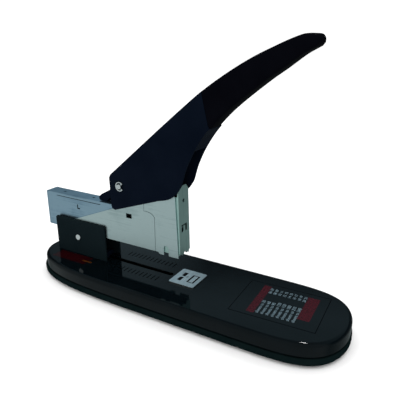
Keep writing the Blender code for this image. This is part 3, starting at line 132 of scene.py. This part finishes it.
# Dark lines on the anvil's top, in mm: (low x, low y, high x, high y)
ANVIL_LINES = [
    (4.2, -7.0, 5.1, -1.6),
    (4.2, 1.6, 5.1, 7.4),
    (13.25, -3.4, 14.9, 3.4),
    (14.2, -5.6, 14.9, -3.4),
    (14.2, 3.4, 14.9, 5.6),
    (18.65, -3.4, 20.2, 3.4),
    (19.6, -6.6, 20.2, -3.4),
    (19.6, 3.4, 20.2, 6.6),
    (8.6, 0.8, 11.2, 1.15),
    (9.8, -0.7, 10.15, 0.8),
    (9.8, 1.15, 10.15, 2.8),
]

# Painted shade: dark fill of the anvil's grooves, in mm: (low x, inner y, high x, outer y) on each side
GROOVE_DEPTH = 0.72
GROOVE_RECESS = 0.04
GROOVES = [
    (5.12, 0.82, 7.68, 7.38),
    (13.22, 3.42, 14.18, 6.58),
    (14.18, 5.62, 18.62, 6.58),
    (18.62, 3.42, 19.58, 6.58),
]

# Painted shade: dark sheets inside the housing
HOUSING_WALL = 0.8 * MM
SHADE_SHEET_AIR = 0.03 * MM
SHADE_SHEET_THICK = 0.2 * MM
SHADE_SHEET_DROP = 18.0 * MM
SHADE_SHEET_LENGTH = 75.0 * MM

# Printed table and scale marks on the cover
INK = 0.04 * MM
PANEL = ((96.2, 2.2), (68.5, 51.3))
PANEL_LINE = 0.5
HEADER = ((78.2, 2.6), (6.3, 43.9))
FOOTER = ((118.2, 5.3), (9.6, 34.3))
ROWS = 8
FIRST_ROW_X = 83.2
ROW_PITCH = 4.1
ROW_LETTERS = 3.9
ROW_DROP = 1.3
ROW_START_Y = -18.0
FIGURES_Y = (13.6, 18.6)
FIGURE_LETTERS = 3.6
FIGURE_DROP = 1.0
TABLE_TURN = 2.2
BAND = ((-108.0, -18.6), (40.0, 13.4))
STROKE = ((-89.0, -19.4), (11.0, 1.8))
TICKS = 13
TICK_REAR_X = -64.2
TICK_FRONT_X = -12.8
TICK_WIDTH = 0.95
TICK_ROWS = [(15.55, 7.5), (-13.0, 7.4)]


# Finishes


def link(tree, value, socket):
    """Joins a node's output to a socket, or sets the socket to a plain value."""
    if isinstance(value, bpy.types.NodeSocket):
        tree.links.new(value, socket)
    else:
        socket.default_value = value


def node(tree, kind, inputs=None, **settings):
    made = tree.nodes.new(kind)
    for name, value in settings.items():
        setattr(made, name, value)
    for name, value in (inputs or {}).items():
        link(tree, value, made.inputs[name])
    return made


def on_piece(tree, stretch=(1, 1, 1)):
    """The piece's own coordinates, stretched along its axes."""
    where = node(tree, "ShaderNodeTexCoord").outputs["Object"]
    return node(tree, "ShaderNodeMapping", {"Vector": where, "Scale": stretch}).outputs["Vector"]


def clouds(tree, scale, detail=3.0, stretch=(1, 1, 1), roughness=0.55):
    """Soft noise: scale features a metre along an axis that isn't stretched."""
    return node(
        tree,
        "ShaderNodeTexNoise",
        {
            "Vector": on_piece(tree, stretch),
            "Scale": scale,
            "Detail": detail,
            "Roughness": roughness,
        },
    ).outputs["Fac"]


def between(tree, share, low, high, start=0.3, end=0.7):
    """A number that runs from low to high as the share runs from start to end."""
    return node(
        tree,
        "ShaderNodeMapRange",
        {"Value": share, "From Min": start, "From Max": end, "To Min": low, "To Max": high},
    ).outputs["Result"]


def blended(tree, share, low, high, start=0.3, end=0.7):
    """A colour that runs from low to high as the share runs from start to end."""
    ramp = node(tree, "ShaderNodeValToRGB", {"Fac": share})
    first, last = ramp.color_ramp.elements
    first.position, last.position = start, end
    first.color, last.color = (*low, 1), (*high, 1)
    return ramp.outputs["Color"]


def relief(tree, height, depth, strength=1.0):
    return node(
        tree,
        "ShaderNodeBump",
        {"Height": height, "Distance": depth, "Strength": strength},
    ).outputs["Normal"]


def finish(name):
    """A new Principled material, with its node tree and its shader."""
    made = bpy.data.materials.new(name)
    made.use_nodes = True
    tree = made.node_tree
    shader = tree.nodes["Principled BSDF"]
    return made, tree, shader


def dress(tree, shader, **sockets):
    """Sets the shader's sockets by name, with _ for a space."""
    for name, value in sockets.items():
        link(tree, value, shader.inputs[name.replace("_", " ")])


def gloss_black():
    """Polished moulded cover: mirror-like, with a breath of smudges and moulding ripple."""
    made, tree, shader = finish("gloss_black")
    smudge = clouds(tree, 45.0, detail=5.0)
    dress(
        tree,
        shader,
        Base_Color=blended(tree, smudge, (0.0006, 0.0018, 0.0026), (0.0012, 0.0028, 0.0038)),
        Roughness=between(tree, smudge, 0.03, 0.06),
        Specular_IOR_Level=0.15,
        Normal=relief(tree, clouds(tree, 160.0, detail=1.0), 0.004 * MM),
    )
    return made


def satin_black():
    """Moulded tray: fine even grain."""
    made, tree, shader = finish("satin_black")
    grain = clouds(tree, 2600.0, detail=2.0)
    cast = clouds(tree, 60.0)
    dress(
        tree,
        shader,
        Base_Color=blended(tree, cast, (0.0026, 0.0062, 0.0066), (0.0038, 0.0082, 0.0086)),
        Roughness=between(tree, cast, 0.30, 0.38),
        Specular_IOR_Level=0.0,
        Normal=relief(tree, grain, 0.02 * MM),
    )
    return made


def black_steel(name, dark, light):
    """Painted steel: baked black with a faint cast and orange peel."""
    made, tree, shader = finish(name)
    cast = clouds(tree, 30.0, detail=4.0)
    peel = clouds(tree, 900.0, detail=1.0)
    dress(
        tree,
        shader,
        Base_Color=blended(tree, cast, dark, light),
        Roughness=between(tree, cast, 0.24, 0.34),
        Specular_IOR_Level=0.006,
        Normal=relief(tree, peel, 0.01 * MM),
    )
    return made


def grip_black():
    """Grip sleeve: softer black plastic with a fine stipple."""
    made, tree, shader = finish("grip_black")
    stipple = clouds(tree, 1800.0, detail=2.0)
    cast = clouds(tree, 40.0)
    dress(
        tree,
        shader,
        Base_Color=blended(tree, cast, (0.0012, 0.0013, 0.0025), (0.0019, 0.0021, 0.0035)),
        Roughness=between(tree, cast, 0.36, 0.46),
        Specular_IOR_Level=0.004,
        Normal=relief(tree, stipple, 0.03 * MM),
    )
    return made


def rolled_steel(name, dark, light, rough, stretch, depth=0.004 * MM):
    """Plated sheet steel: rolling streaks along one axis, over broad soft clouds of the plating."""
    made, tree, shader = finish(name)
    streaks = clouds(tree, 1.0, detail=4.0, stretch=stretch, roughness=0.6)
    plating = clouds(tree, 55.0, detail=4.0)
    both = node(tree, "ShaderNodeMath", {0: streaks, 1: plating}, operation="ADD").outputs[0]
    dress(
        tree,
        shader,
        Base_Color=blended(tree, both, dark, light, start=0.75, end=1.25),
        Roughness=between(tree, both, rough[0], rough[1], start=0.75, end=1.25),
        Metallic=1.0,
        Normal=relief(tree, streaks, depth),
    )
    return made


def rubber():
    made, tree, shader = finish("rubber")
    dust = clouds(tree, 300.0)
    dress(
        tree,
        shader,
        Base_Color=blended(tree, dust, (0.012, 0.012, 0.012), (0.022, 0.022, 0.022)),
        Roughness=between(tree, dust, 0.75, 0.9),
        Normal=relief(tree, clouds(tree, 1500.0), 0.03 * MM),
    )
    return made


def ink_and_shade(name, pale, deep, rough=0.12, gloss=0.12):
    """Print, and flat painted shade: a thin film, uneven where the screen let less through."""
    made, tree, shader = finish(name)
    screen = clouds(tree, 700.0, detail=3.0)
    dress(
        tree,
        shader,
        Base_Color=blended(tree, screen, deep, pale),
        Roughness=between(tree, screen, rough, rough + 0.04),
        Specular_IOR_Level=gloss,
    )
    return made


FINISHES = {
    "gloss_black": gloss_black(),
    "satin_black": satin_black(),
    "black_steel": black_steel(
        "black_steel", (0.0016, 0.0031, 0.0070), (0.0026, 0.0047, 0.0098)
    ),
    "bracket_black": black_steel(
        "bracket_black", (0.0038, 0.0075, 0.0092), (0.0055, 0.0100, 0.0118)
    ),
    "grip_black": grip_black(),
    "zinc_steel": rolled_steel(
        "zinc_steel", (0.55, 0.68, 0.69), (0.69, 0.82, 0.83), (0.34, 0.44), (12, 500, 500)
    ),
    "nose_steel": rolled_steel(
        "nose_steel", (0.52, 0.75, 0.71), (0.62, 0.86, 0.81), (0.34, 0.44), (500, 500, 12)
    ),
    "blue_zinc": rolled_steel(
        "blue_zinc", (0.28, 0.43, 0.56), (0.40, 0.57, 0.70), (0.30, 0.40), (10, 600, 600)
    ),
    # painted shade: zinc and bright steel made dark for the pieces that sit inside the head
    "painted_shade_steel": rolled_steel(
        "painted_shade_steel", (0.035, 0.040, 0.044), (0.06, 0.066, 0.07), (0.34, 0.44), (12, 300, 300)
    ),
    "bright_steel": rolled_steel(
        "bright_steel", (0.80, 0.84, 0.86), (0.92, 0.95, 0.96), (0.20, 0.30), (300, 60, 300)
    ),
    "spring_steel": rolled_steel(
        "spring_steel", (0.22, 0.23, 0.25), (0.32, 0.33, 0.35), (0.25, 0.35), (200, 200, 200)
    ),
    "rubber": rubber(),
    "table_panel": ink_and_shade(
        "table_panel", (0.0012, 0.0028, 0.0038), (0.0006, 0.0018, 0.0026), 0.03, 0.15
    ),
    "table_red": ink_and_shade("table_red", (0.040, 0.003, 0.007), (0.018, 0.0014, 0.0030)),
    "table_grey": ink_and_shade("table_grey", (0.16, 0.23, 0.27), (0.09, 0.135, 0.16)),
    "table_amber": ink_and_shade("table_amber", (0.075, 0.026, 0.005), (0.045, 0.015, 0.003)),
    "scale_black": ink_and_shade(
        "scale_black", (0.0016, 0.0022, 0.0028), (0.0008, 0.0012, 0.0016), 0.5, 0.0
    ),
    "band_red": ink_and_shade("band_red", (0.016, 0.0008, 0.0018), (0.009, 0.0004, 0.0010)),
    # painted shade: the dark film in the anvil's pockets and inside the housing
    "painted_shade_black": ink_and_shade("painted_shade_black", (0.006, 0.007, 0.008), (0.003, 0.0035, 0.004), 0.5, 0.0),
}


# Shared shaping


def wear(thing, finish_name):
    thing.data.materials.clear()
    thing.data.materials.append(FINISHES[finish_name])
    return thing


def new_piece(name, work, smooth_angle=35):
    """A new object from a bmesh, with smooth faces up to an angle."""
    mesh = bpy.data.meshes.new(name)
    bmesh.ops.remove_doubles(work, verts=work.verts, dist=MERGE)
    bmesh.ops.recalc_face_normals(work, faces=work.faces)
    work.to_mesh(mesh)
    work.free()
    mesh.shade_smooth()
    mesh.set_sharp_from_angle(angle=math.radians(smooth_angle))
    made = bpy.data.objects.new(name, mesh)
    bpy.context.scene.collection.objects.link(made)
    return made


def stand_in(piece, node_name, slot, finish_name=None):
    """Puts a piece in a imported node's place, on the same body."""
    wear(piece, finish_name or slot)
    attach(piece, frame["nodes"][node_name]["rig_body"])
    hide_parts(node_name)
    return piece


def fine(node_name, slot, edge, finish_name=None, segments=2, angle=32):
    """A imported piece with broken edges: its shape is kept, and each sharp edge is rounded a little."""
    work = bmesh.new()
    work.from_mesh(frame["nodes"][node_name].data)
    bmesh.ops.remove_doubles(work, verts=work.verts, dist=MERGE)
    bmesh.ops.dissolve_limit(
        work, angle_limit=math.radians(0.5), verts=work.verts, edges=work.edges, delimit=set()
    )
    piece = new_piece(node_name + "_finished", work, smooth_angle=angle)
    if edge:
        round_off = piece.modifiers.new("broken_edges", "BEVEL")
        round_off.width = edge
        round_off.segments = segments
        round_off.limit_method = "ANGLE"
        round_off.angle_limit = math.radians(angle)
        round_off.harden_normals = True
    return stand_in(piece, node_name, slot, finish_name)


def cut(piece, cutter):
    """Takes the cutter's shape out of the piece for good."""
    take = piece.modifiers.new("cut", "BOOLEAN")
    take.operation = "DIFFERENCE"
    take.solver = "EXACT"
    take.object = cutter
    bpy.context.view_layer.update()
    seen = piece.evaluated_get(bpy.context.evaluated_depsgraph_get())
    mesh = bpy.data.meshes.new_from_object(seen)
    piece.modifiers.remove(take)
    piece.data = mesh
    bpy.data.objects.remove(cutter)


def block(work, low, high):
    """A plain block in a bmesh. Returns its corners."""
    made = bmesh.ops.create_cube(work, size=1)["verts"]
    size = [b - a for a, b in zip(low, high)]
    bmesh.ops.scale(work, vec=size, verts=made)
    bmesh.ops.translate(work, vec=[(a + b) / 2 for a, b in zip(low, high)], verts=made)
    return made


def round_corners(work, verts, radius, segments=6):
    """Rounds the upright edges among these corners."""
    edges = {
        e
        for v in verts
        for e in v.link_edges
        if abs(e.verts[0].co.z - e.verts[1].co.z) > abs(e.verts[0].co.x - e.verts[1].co.x)
        and abs(e.verts[0].co.z - e.verts[1].co.z) > abs(e.verts[0].co.y - e.verts[1].co.y)
    }
    bmesh.ops.bevel(
        work,
        geom=list(edges),
        offset=radius,
        segments=segments,
        profile=0.5,
        affect="EDGES",
        material=-1,
    )


# Base


def plan_ring(work, low, high, level, inset):
    """The base's plan as a closed ring of edges at one level, drawn in by the inset."""
    ring = bmesh.ops.create_circle(work, cap_ends=False, segments=PLAN_STEPS, radius=1)["verts"]
    half = high.y - inset
    for vert in ring:
        along, across = vert.co.x, vert.co.y
        reach, power = (high.x - WIDEST_X, FRONT_POWER) if along > 0 else (
            WIDEST_X - low.x,
            REAR_POWER,
        )
        x = WIDEST_X + math.copysign((reach - inset) * abs(along) ** (2 / power), along)
        vert.co = (x, half * across, level)
    chosen = set(ring)
    return ring, [e for e in work.edges if e.verts[0] in chosen and e.verts[1] in chosen]


def base_shell(name, low, high, levels, edges):
    """A closed shell through rings at (level, inset). Edges are the rings to round, with a radius."""
    work = bmesh.new()
    rings = [plan_ring(work, low, high, level, inset) for level, inset in levels]
    for (_, lower), (_, upper) in zip(rings, rings[1:]):
        bmesh.ops.bridge_loops(work, edges=lower + upper)
    for _, ring_edges in (rings[0], rings[-1]):
        bmesh.ops.contextual_create(work, geom=ring_edges)
    bmesh.ops.recalc_face_normals(work, faces=work.faces)
    for index, radius in edges:
        bmesh.ops.bevel(
            work,
            geom=rings[index][1],
            offset=radius,
            segments=8,
            profile=0.5,
            affect="EDGES",
            material=-1,
        )
    return new_piece(name, work)


def flatten_shading(shell):
    """Keeps the big faces flat in shading, so that only the rounded edges turn the light."""
    even = shell.modifiers.new("flat_faces", "WEIGHTED_NORMAL")
    even.keep_sharp = True
    even.weight = 100


def slot_cutter(low_z, high_z):
    work = bmesh.new()
    half = SLOT_WIDTH / 2
    corners = block(work, (SLOT_REAR_X, -half, low_z), (SLOT_FRONT_X, half, high_z))
    round_corners(work, corners, half * 0.98, segments=10)
    return new_piece("slot_cutter", work)


def anvil_cutter(low_z, high_z):
    low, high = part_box("anvil_plate")
    work = bmesh.new()
    corners = block(
        work,
        (low.x - ANVIL_GAP, low.y - ANVIL_GAP, low_z),
        (high.x + ANVIL_GAP, high.y + ANVIL_GAP, high_z),
    )
    round_corners(work, corners, ANVIL_CORNER)
    return new_piece("anvil_cutter", work)


def make_cover():
    low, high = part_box("base_cover")
    lip = low.z + COVER_LIP_HEIGHT
    under = high.z - COVER_WALL
    levels = [
        (under, COVER_LIP_INSET + COVER_WALL),
        (low.z, COVER_LIP_INSET + COVER_WALL),
        (low.z, COVER_LIP_INSET),
        (lip, COVER_LIP_INSET),
        (lip, 0.0),
        (high.z, 0.0),
    ]
    cover = base_shell("cover_shell", low, high, levels, [(5, COVER_EDGE), (4, 0.3 * MM)])
    cut(cover, slot_cutter(under - CUT_OVERRUN, high.z + CUT_OVERRUN))
    cut(cover, anvil_cutter(under - CUT_OVERRUN, high.z + CUT_OVERRUN))
    flatten_shading(cover)
    stand_in(cover, "base_cover", "gloss_black")
    return high.z


def make_tray():
    low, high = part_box("base_tray")
    levels = [
        (low.z, 0.0),
        (high.z, 0.0),
        (high.z, TRAY_WALL),
        (low.z + TRAY_WALL, TRAY_WALL),
    ]
    tray = base_shell("tray_shell", low, high, levels, [(1, TRAY_RIM), (0, TRAY_EDGE)])
    flatten_shading(tray)
    stand_in(tray, "base_tray", "satin_black")


# Print on the cover


def printed(name, rectangles, top_z, finish_name, thickness=INK, turn=0.0):
    """Flat printed rectangles on the cover, each ((middle x, middle y), (length, width)) in mm."""
    work = bmesh.new()
    for (x, y), (length, width) in rectangles:
        block(
            work,
            ((x - length / 2) * MM, (y - width / 2) * MM, top_z),
            ((x + length / 2) * MM, (y + width / 2) * MM, top_z + thickness),
        )
    middle = Vector((PANEL[0][0] * MM, PANEL[0][1] * MM, 0))
    bmesh.ops.rotate(
        work, cent=middle, matrix=Matrix.Rotation(math.radians(turn), 3, "Z"), verts=work.verts
    )
    piece = new_piece(name, work)
    wear(piece, finish_name)
    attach(piece, "base")
    return piece


def typed(name, words, place, height, top_z):
    """Printed words on the table, read from the near side to the far side."""
    letters = bpy.data.curves.new(name, "FONT")
    letters.body = words
    letters.size = height * MM
    letters.extrude = INK / 2
    curve = bpy.data.objects.new(name, letters)
    bpy.context.scene.collection.objects.link(curve)
    bpy.context.view_layer.update()
    seen = curve.evaluated_get(bpy.context.evaluated_depsgraph_get())
    mesh = bpy.data.meshes.new_from_object(seen)
    bpy.data.objects.remove(curve)
    middle = Vector((PANEL[0][0] * MM, PANEL[0][1] * MM, 0))
    turn = Matrix.Rotation(math.radians(TABLE_TURN), 4, "Z")
    shift = Matrix.Translation((place[0] * MM, place[1] * MM, top_z + 1.5 * INK))
    upright = Matrix.Rotation(math.radians(90), 4, "Z")
    about_panel = Matrix.Translation(middle) @ turn @ Matrix.Translation(-middle)
    mesh.transform(about_panel @ shift @ upright)
    piece = bpy.data.objects.new(name, mesh)
    bpy.context.scene.collection.objects.link(piece)
    wear(piece, "table_grey")
    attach(piece, "base")


def make_table_text(top_z):
    """Plain lines of a sheet table: how many sheets, and two columns of sizes."""
    for row in range(ROWS):
        x = FIRST_ROW_X + row * ROW_PITCH
        sheets = 30 * (row + 1)
        place = (x + ROW_DROP, ROW_START_Y)
        typed(f"table_line_{row + 1}", f"sheets to {sheets}", place, ROW_LETTERS, top_z)
        for column, y in enumerate(FIGURES_Y):
            figure = str(6 + 2 * row + column)
            name = f"table_figure_{column + 1}_{row + 1}"
            typed(name, figure.zfill(2), (x + FIGURE_DROP, y), FIGURE_LETTERS, top_z)


def make_print(top_z):
    printed("table_panel", [PANEL], top_z, "table_panel", turn=TABLE_TURN)
    printed("table_bars", [HEADER, FOOTER], top_z + INK, "table_red", turn=TABLE_TURN)
    (x, y), (length, width) = PANEL
    edges = [((x, y + side * width / 2), (length, PANEL_LINE)) for side in (-1, 1)]
    edges += [((x + side * length / 2, y), (PANEL_LINE, width)) for side in (-1, 1)]
    printed("table_edge", edges, top_z + INK, "scale_black", turn=TABLE_TURN)
    make_table_text(top_z)
    printed("rear_band", [BAND], top_z, "band_red")
    printed("rear_stroke", [STROKE], top_z + INK, "table_amber")
    pitch = (TICK_FRONT_X - TICK_REAR_X) / (TICKS - 1)
    ticks = []
    for tick in range(TICKS):
        x = TICK_REAR_X + tick * pitch
        ticks += [((x, y), (TICK_WIDTH, length)) for y, length in TICK_ROWS]
    printed("scale_marks", ticks, top_z, "scale_black")


# Metal pieces


def make_groove_shade():
    """Painted shade: dark fill in the anvil's pockets and bracket marks, and dark lines on the top
    beside them.
    """
    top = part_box("anvil_plate")[1].z / MM
    low, high = top - GROOVE_DEPTH, top - GROOVE_RECESS
    work = bmesh.new()
    for side in (-1, 1):
        for x0, y0, x1, y1 in GROOVES:
            y0, y1 = sorted((side * y0, side * y1))
            block(work, [v * MM for v in (x0, y0, low)], [v * MM for v in (x1, y1, high)])
    for x0, y0, x1, y1 in ANVIL_LINES:
        block(work, [v * MM for v in (x0, y0, top)], [v * MM for v in (x1, y1, top + INK / MM)])
    # The dark blocks in the pockets are painted shade of the recesses.
    piece = new_piece("anvil_groove_shade", work)
    wear(piece, "painted_shade_black")
    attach(piece, "base")


def make_housing_shade_sheet():
    """Painted shade: dark sheets inside the rear of the housing, in the gap that the loader leaves."""
    low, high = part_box("magazine_housing")
    top = high.z - HOUSING_WALL
    side = high.y - HOUSING_WALL
    front = low.x + SHADE_SHEET_LENGTH
    work = bmesh.new()
    block(work, (low.x, -side, top - SHADE_SHEET_THICK), (front, side, top - SHADE_SHEET_AIR))
    walls = (
        (SHADE_SHEET_AIR - side, SHADE_SHEET_THICK - side),
        (side - SHADE_SHEET_THICK, side - SHADE_SHEET_AIR),
    )
    for y0, y1 in walls:
        block(work, (low.x, y0, top - SHADE_SHEET_DROP), (front, y1, top - SHADE_SHEET_THICK))
    # These dark sheets are painted shade where the housing's inside lies in shade.
    piece = new_piece("housing_painted_shade", work)
    wear(piece, "painted_shade_black")
    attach(piece, "head")


def make_metal():
    for name in ("side_plate_near", "side_plate_far", "nose_cheek_near", "nose_cheek_far"):
        fine(name, "zinc_steel", 0.18 * MM)
    fine("front_plate", "zinc_steel", 0.22 * MM, "nose_steel")
    fine("magazine_housing", "blue_zinc", 0.15 * MM)
    fine("rear_cap", "blue_zinc", 0.3 * MM)
    fine("rear_bracket", "black_steel", 0.3 * MM, "bracket_black", segments=3)
    fine("anvil_plate", "bright_steel", 0.2 * MM)
    fine("paper_stop", "black_steel", 0.25 * MM)
    fine("drive_lever", "black_steel", 0.3 * MM)
    for name in ("pivot_pin", "handle_pin"):
        fine(name, "bright_steel", 0.12 * MM)
    fine("pivot_clip", "spring_steel", 0.1 * MM)
    fine("handle_pin_clip", "bright_steel", 0.1 * MM)
    # These inner pieces, and the driver pieces below, wear darkened steel as painted shade.
    for name in ("base_chassis", "stop_clamp", "magazine_rail"):
        fine(name, "zinc_steel", 0.1 * MM, "painted_shade_steel")
    fine("pusher", "zinc_steel", 0.1 * MM)
    for name in ("driver_blade", "driver_carrier", "drive_pin"):
        fine(name, "bright_steel", 0.08 * MM, "painted_shade_steel")
    for name in ("staple_strip", "guide_rod", "rod_head"):
        fine(name, "bright_steel", 0.08 * MM)
    for number in range(1, 5):
        fine(f"foot_pad_{number}", "rubber", 0.2 * MM)
        fine(f"base_screw_{number}", "bright_steel", 0.15 * MM)
        fine(f"bracket_rivet_{number}", "bright_steel", 0.15 * MM)
    for number in (1, 2):
        fine(f"anvil_screw_{number}", "bright_steel", 0.12 * MM)


def make_springs():
    head = fine("head_spring", "spring_steel", 0)
    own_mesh(head)
    back = fine("handle_spring", "spring_steel", 0)
    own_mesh(back)
    fine("pusher_spring", "spring_steel", 0)


def make_handle():
    fine("handle_lever", "black_steel", 0.3 * MM, segments=3, angle=40)
    fine("handle_grip", "grip_black", 0.0, angle=40)


# Floor, lights and camera


def make_floor():
    work = bmesh.new()
    bmesh.ops.create_grid(work, x_segments=1, y_segments=1, size=FLOOR_HALF)
    floor = new_piece("floor", work)
    paper, tree, shader = finish("paper_floor")
    dress(tree, shader, Base_Color=(0.92, 0.92, 0.92, 1), Roughness=0.9, Specular_IOR_Level=0.0)
    floor.data.materials.append(paper)
    floor.visible_glossy = False


def make_light(name, place, target, size, power, flash=False):
    lamp = bpy.data.lights.new(name, "AREA")
    lamp.shape = "RECTANGLE"
    lamp.size, lamp.size_y = size
    lamp.energy = power
    made = bpy.data.objects.new(name, lamp)
    bpy.context.scene.collection.objects.link(made)
    made.location = place
    aim = Vector(target) - Vector(place)
    made.rotation_euler = aim.to_track_quat("-Z", "Y").to_euler()
    made.visible_glossy, made.visible_diffuse = flash, not flash


def mixed(tree, share, first, last):
    """A colour between two colours, by a share from 0 to 1."""
    blend = node(tree, "ShaderNodeMix", data_type="RGBA")
    for index, value in ((0, share), (6, first), (7, last)):
        link(tree, value, blend.inputs[index])
    return blend.outputs[2]


def make_reflected_room():
    """A shell that only reflections see, because the paints and plates show little but the room."""
    work = bmesh.new()
    bmesh.ops.create_icosphere(work, subdivisions=5, radius=ROOM_RADIUS)
    room = new_piece("reflected_room", work)
    made = bpy.data.materials.new("reflected_room")
    made.use_nodes = True
    tree = made.node_tree
    tree.nodes.clear()
    toward = node(
        tree, "ShaderNodeSeparateXYZ", {"Vector": on_piece(tree, (1 / ROOM_RADIUS,) * 3)}
    ).outputs
    back = mixed(tree, between(tree, toward["X"], 0, 1, *ROOM_BACK_SPAN), ROOM_CORNER, ROOM_BACK)
    side = between(tree, toward["X"], 0, 1, *ROOM_DIM_SIDE)
    dim = mixed(tree, side, back, ROOM_DIM)
    back = mixed(tree, between(tree, toward["Z"], 0, 1, *ROOM_DIM_RISE), dim, back)
    back = mixed(tree, between(tree, toward["Z"], 0, 1, *ROOM_LOW_SPAN), ROOM_LOW, back)
    sides = mixed(tree, between(tree, toward["Y"], 0, 1, *ROOM_FRONT_SPAN), ROOM_FRONT, back)
    whole = mixed(tree, between(tree, toward["Z"], 0, 1, *ROOM_TOP_SPAN), sides, ROOM_TOP)
    glow = node(tree, "ShaderNodeEmission", {"Color": whole, "Strength": 1.0}).outputs[0]
    node(tree, "ShaderNodeOutputMaterial", {"Surface": glow})
    room.data.materials.append(made)
    room.visible_camera = room.visible_diffuse = room.visible_shadow = False
    room.visible_transmission = room.visible_volume_scatter = False


def make_lights():
    make_light("overhead", OVERHEAD_PLACE, LAMP_AIM, OVERHEAD_SIZE, OVERHEAD_WATTS)
    make_light("front_left", FRONT_LEFT_PLACE, LAMP_AIM, FRONT_LEFT_SIZE, FRONT_LEFT_WATTS)
    make_light("flash", FLASH_PLACE, FLASH_AIM, FLASH_SIZE, FLASH_WATTS, flash=True)
    world = bpy.data.worlds.new("studio")
    world.use_nodes = True
    bpy.context.scene.world = world
    back = world.node_tree.nodes["Background"]
    back.inputs["Color"].default_value = (1, 1, 1, 1)
    back.inputs["Strength"].default_value = WORLD_STRENGTH
    bpy.context.scene.view_settings.view_transform = "Standard"


def make_camera():
    lens = bpy.data.cameras.new("camera")
    lens.sensor_width = CAMERA_SENSOR
    lens.lens = CAMERA_LENS
    camera = bpy.data.objects.new("camera", lens)
    bpy.context.scene.collection.objects.link(camera)
    back = -Vector(CAMERA_FORWARD)
    turn = Matrix((CAMERA_RIGHT, CAMERA_UP, back)).transposed().to_4x4()
    camera.matrix_world = Matrix.Translation(CAMERA_PLACE) @ turn
    bpy.context.scene.camera = camera


make_camera()
make_floor()
make_reflected_room()
make_lights()
COVER_TOP = make_cover()
make_tray()
make_print(COVER_TOP)
make_metal()
make_groove_shade()
make_housing_shade_sheet()
make_springs()
make_handle()
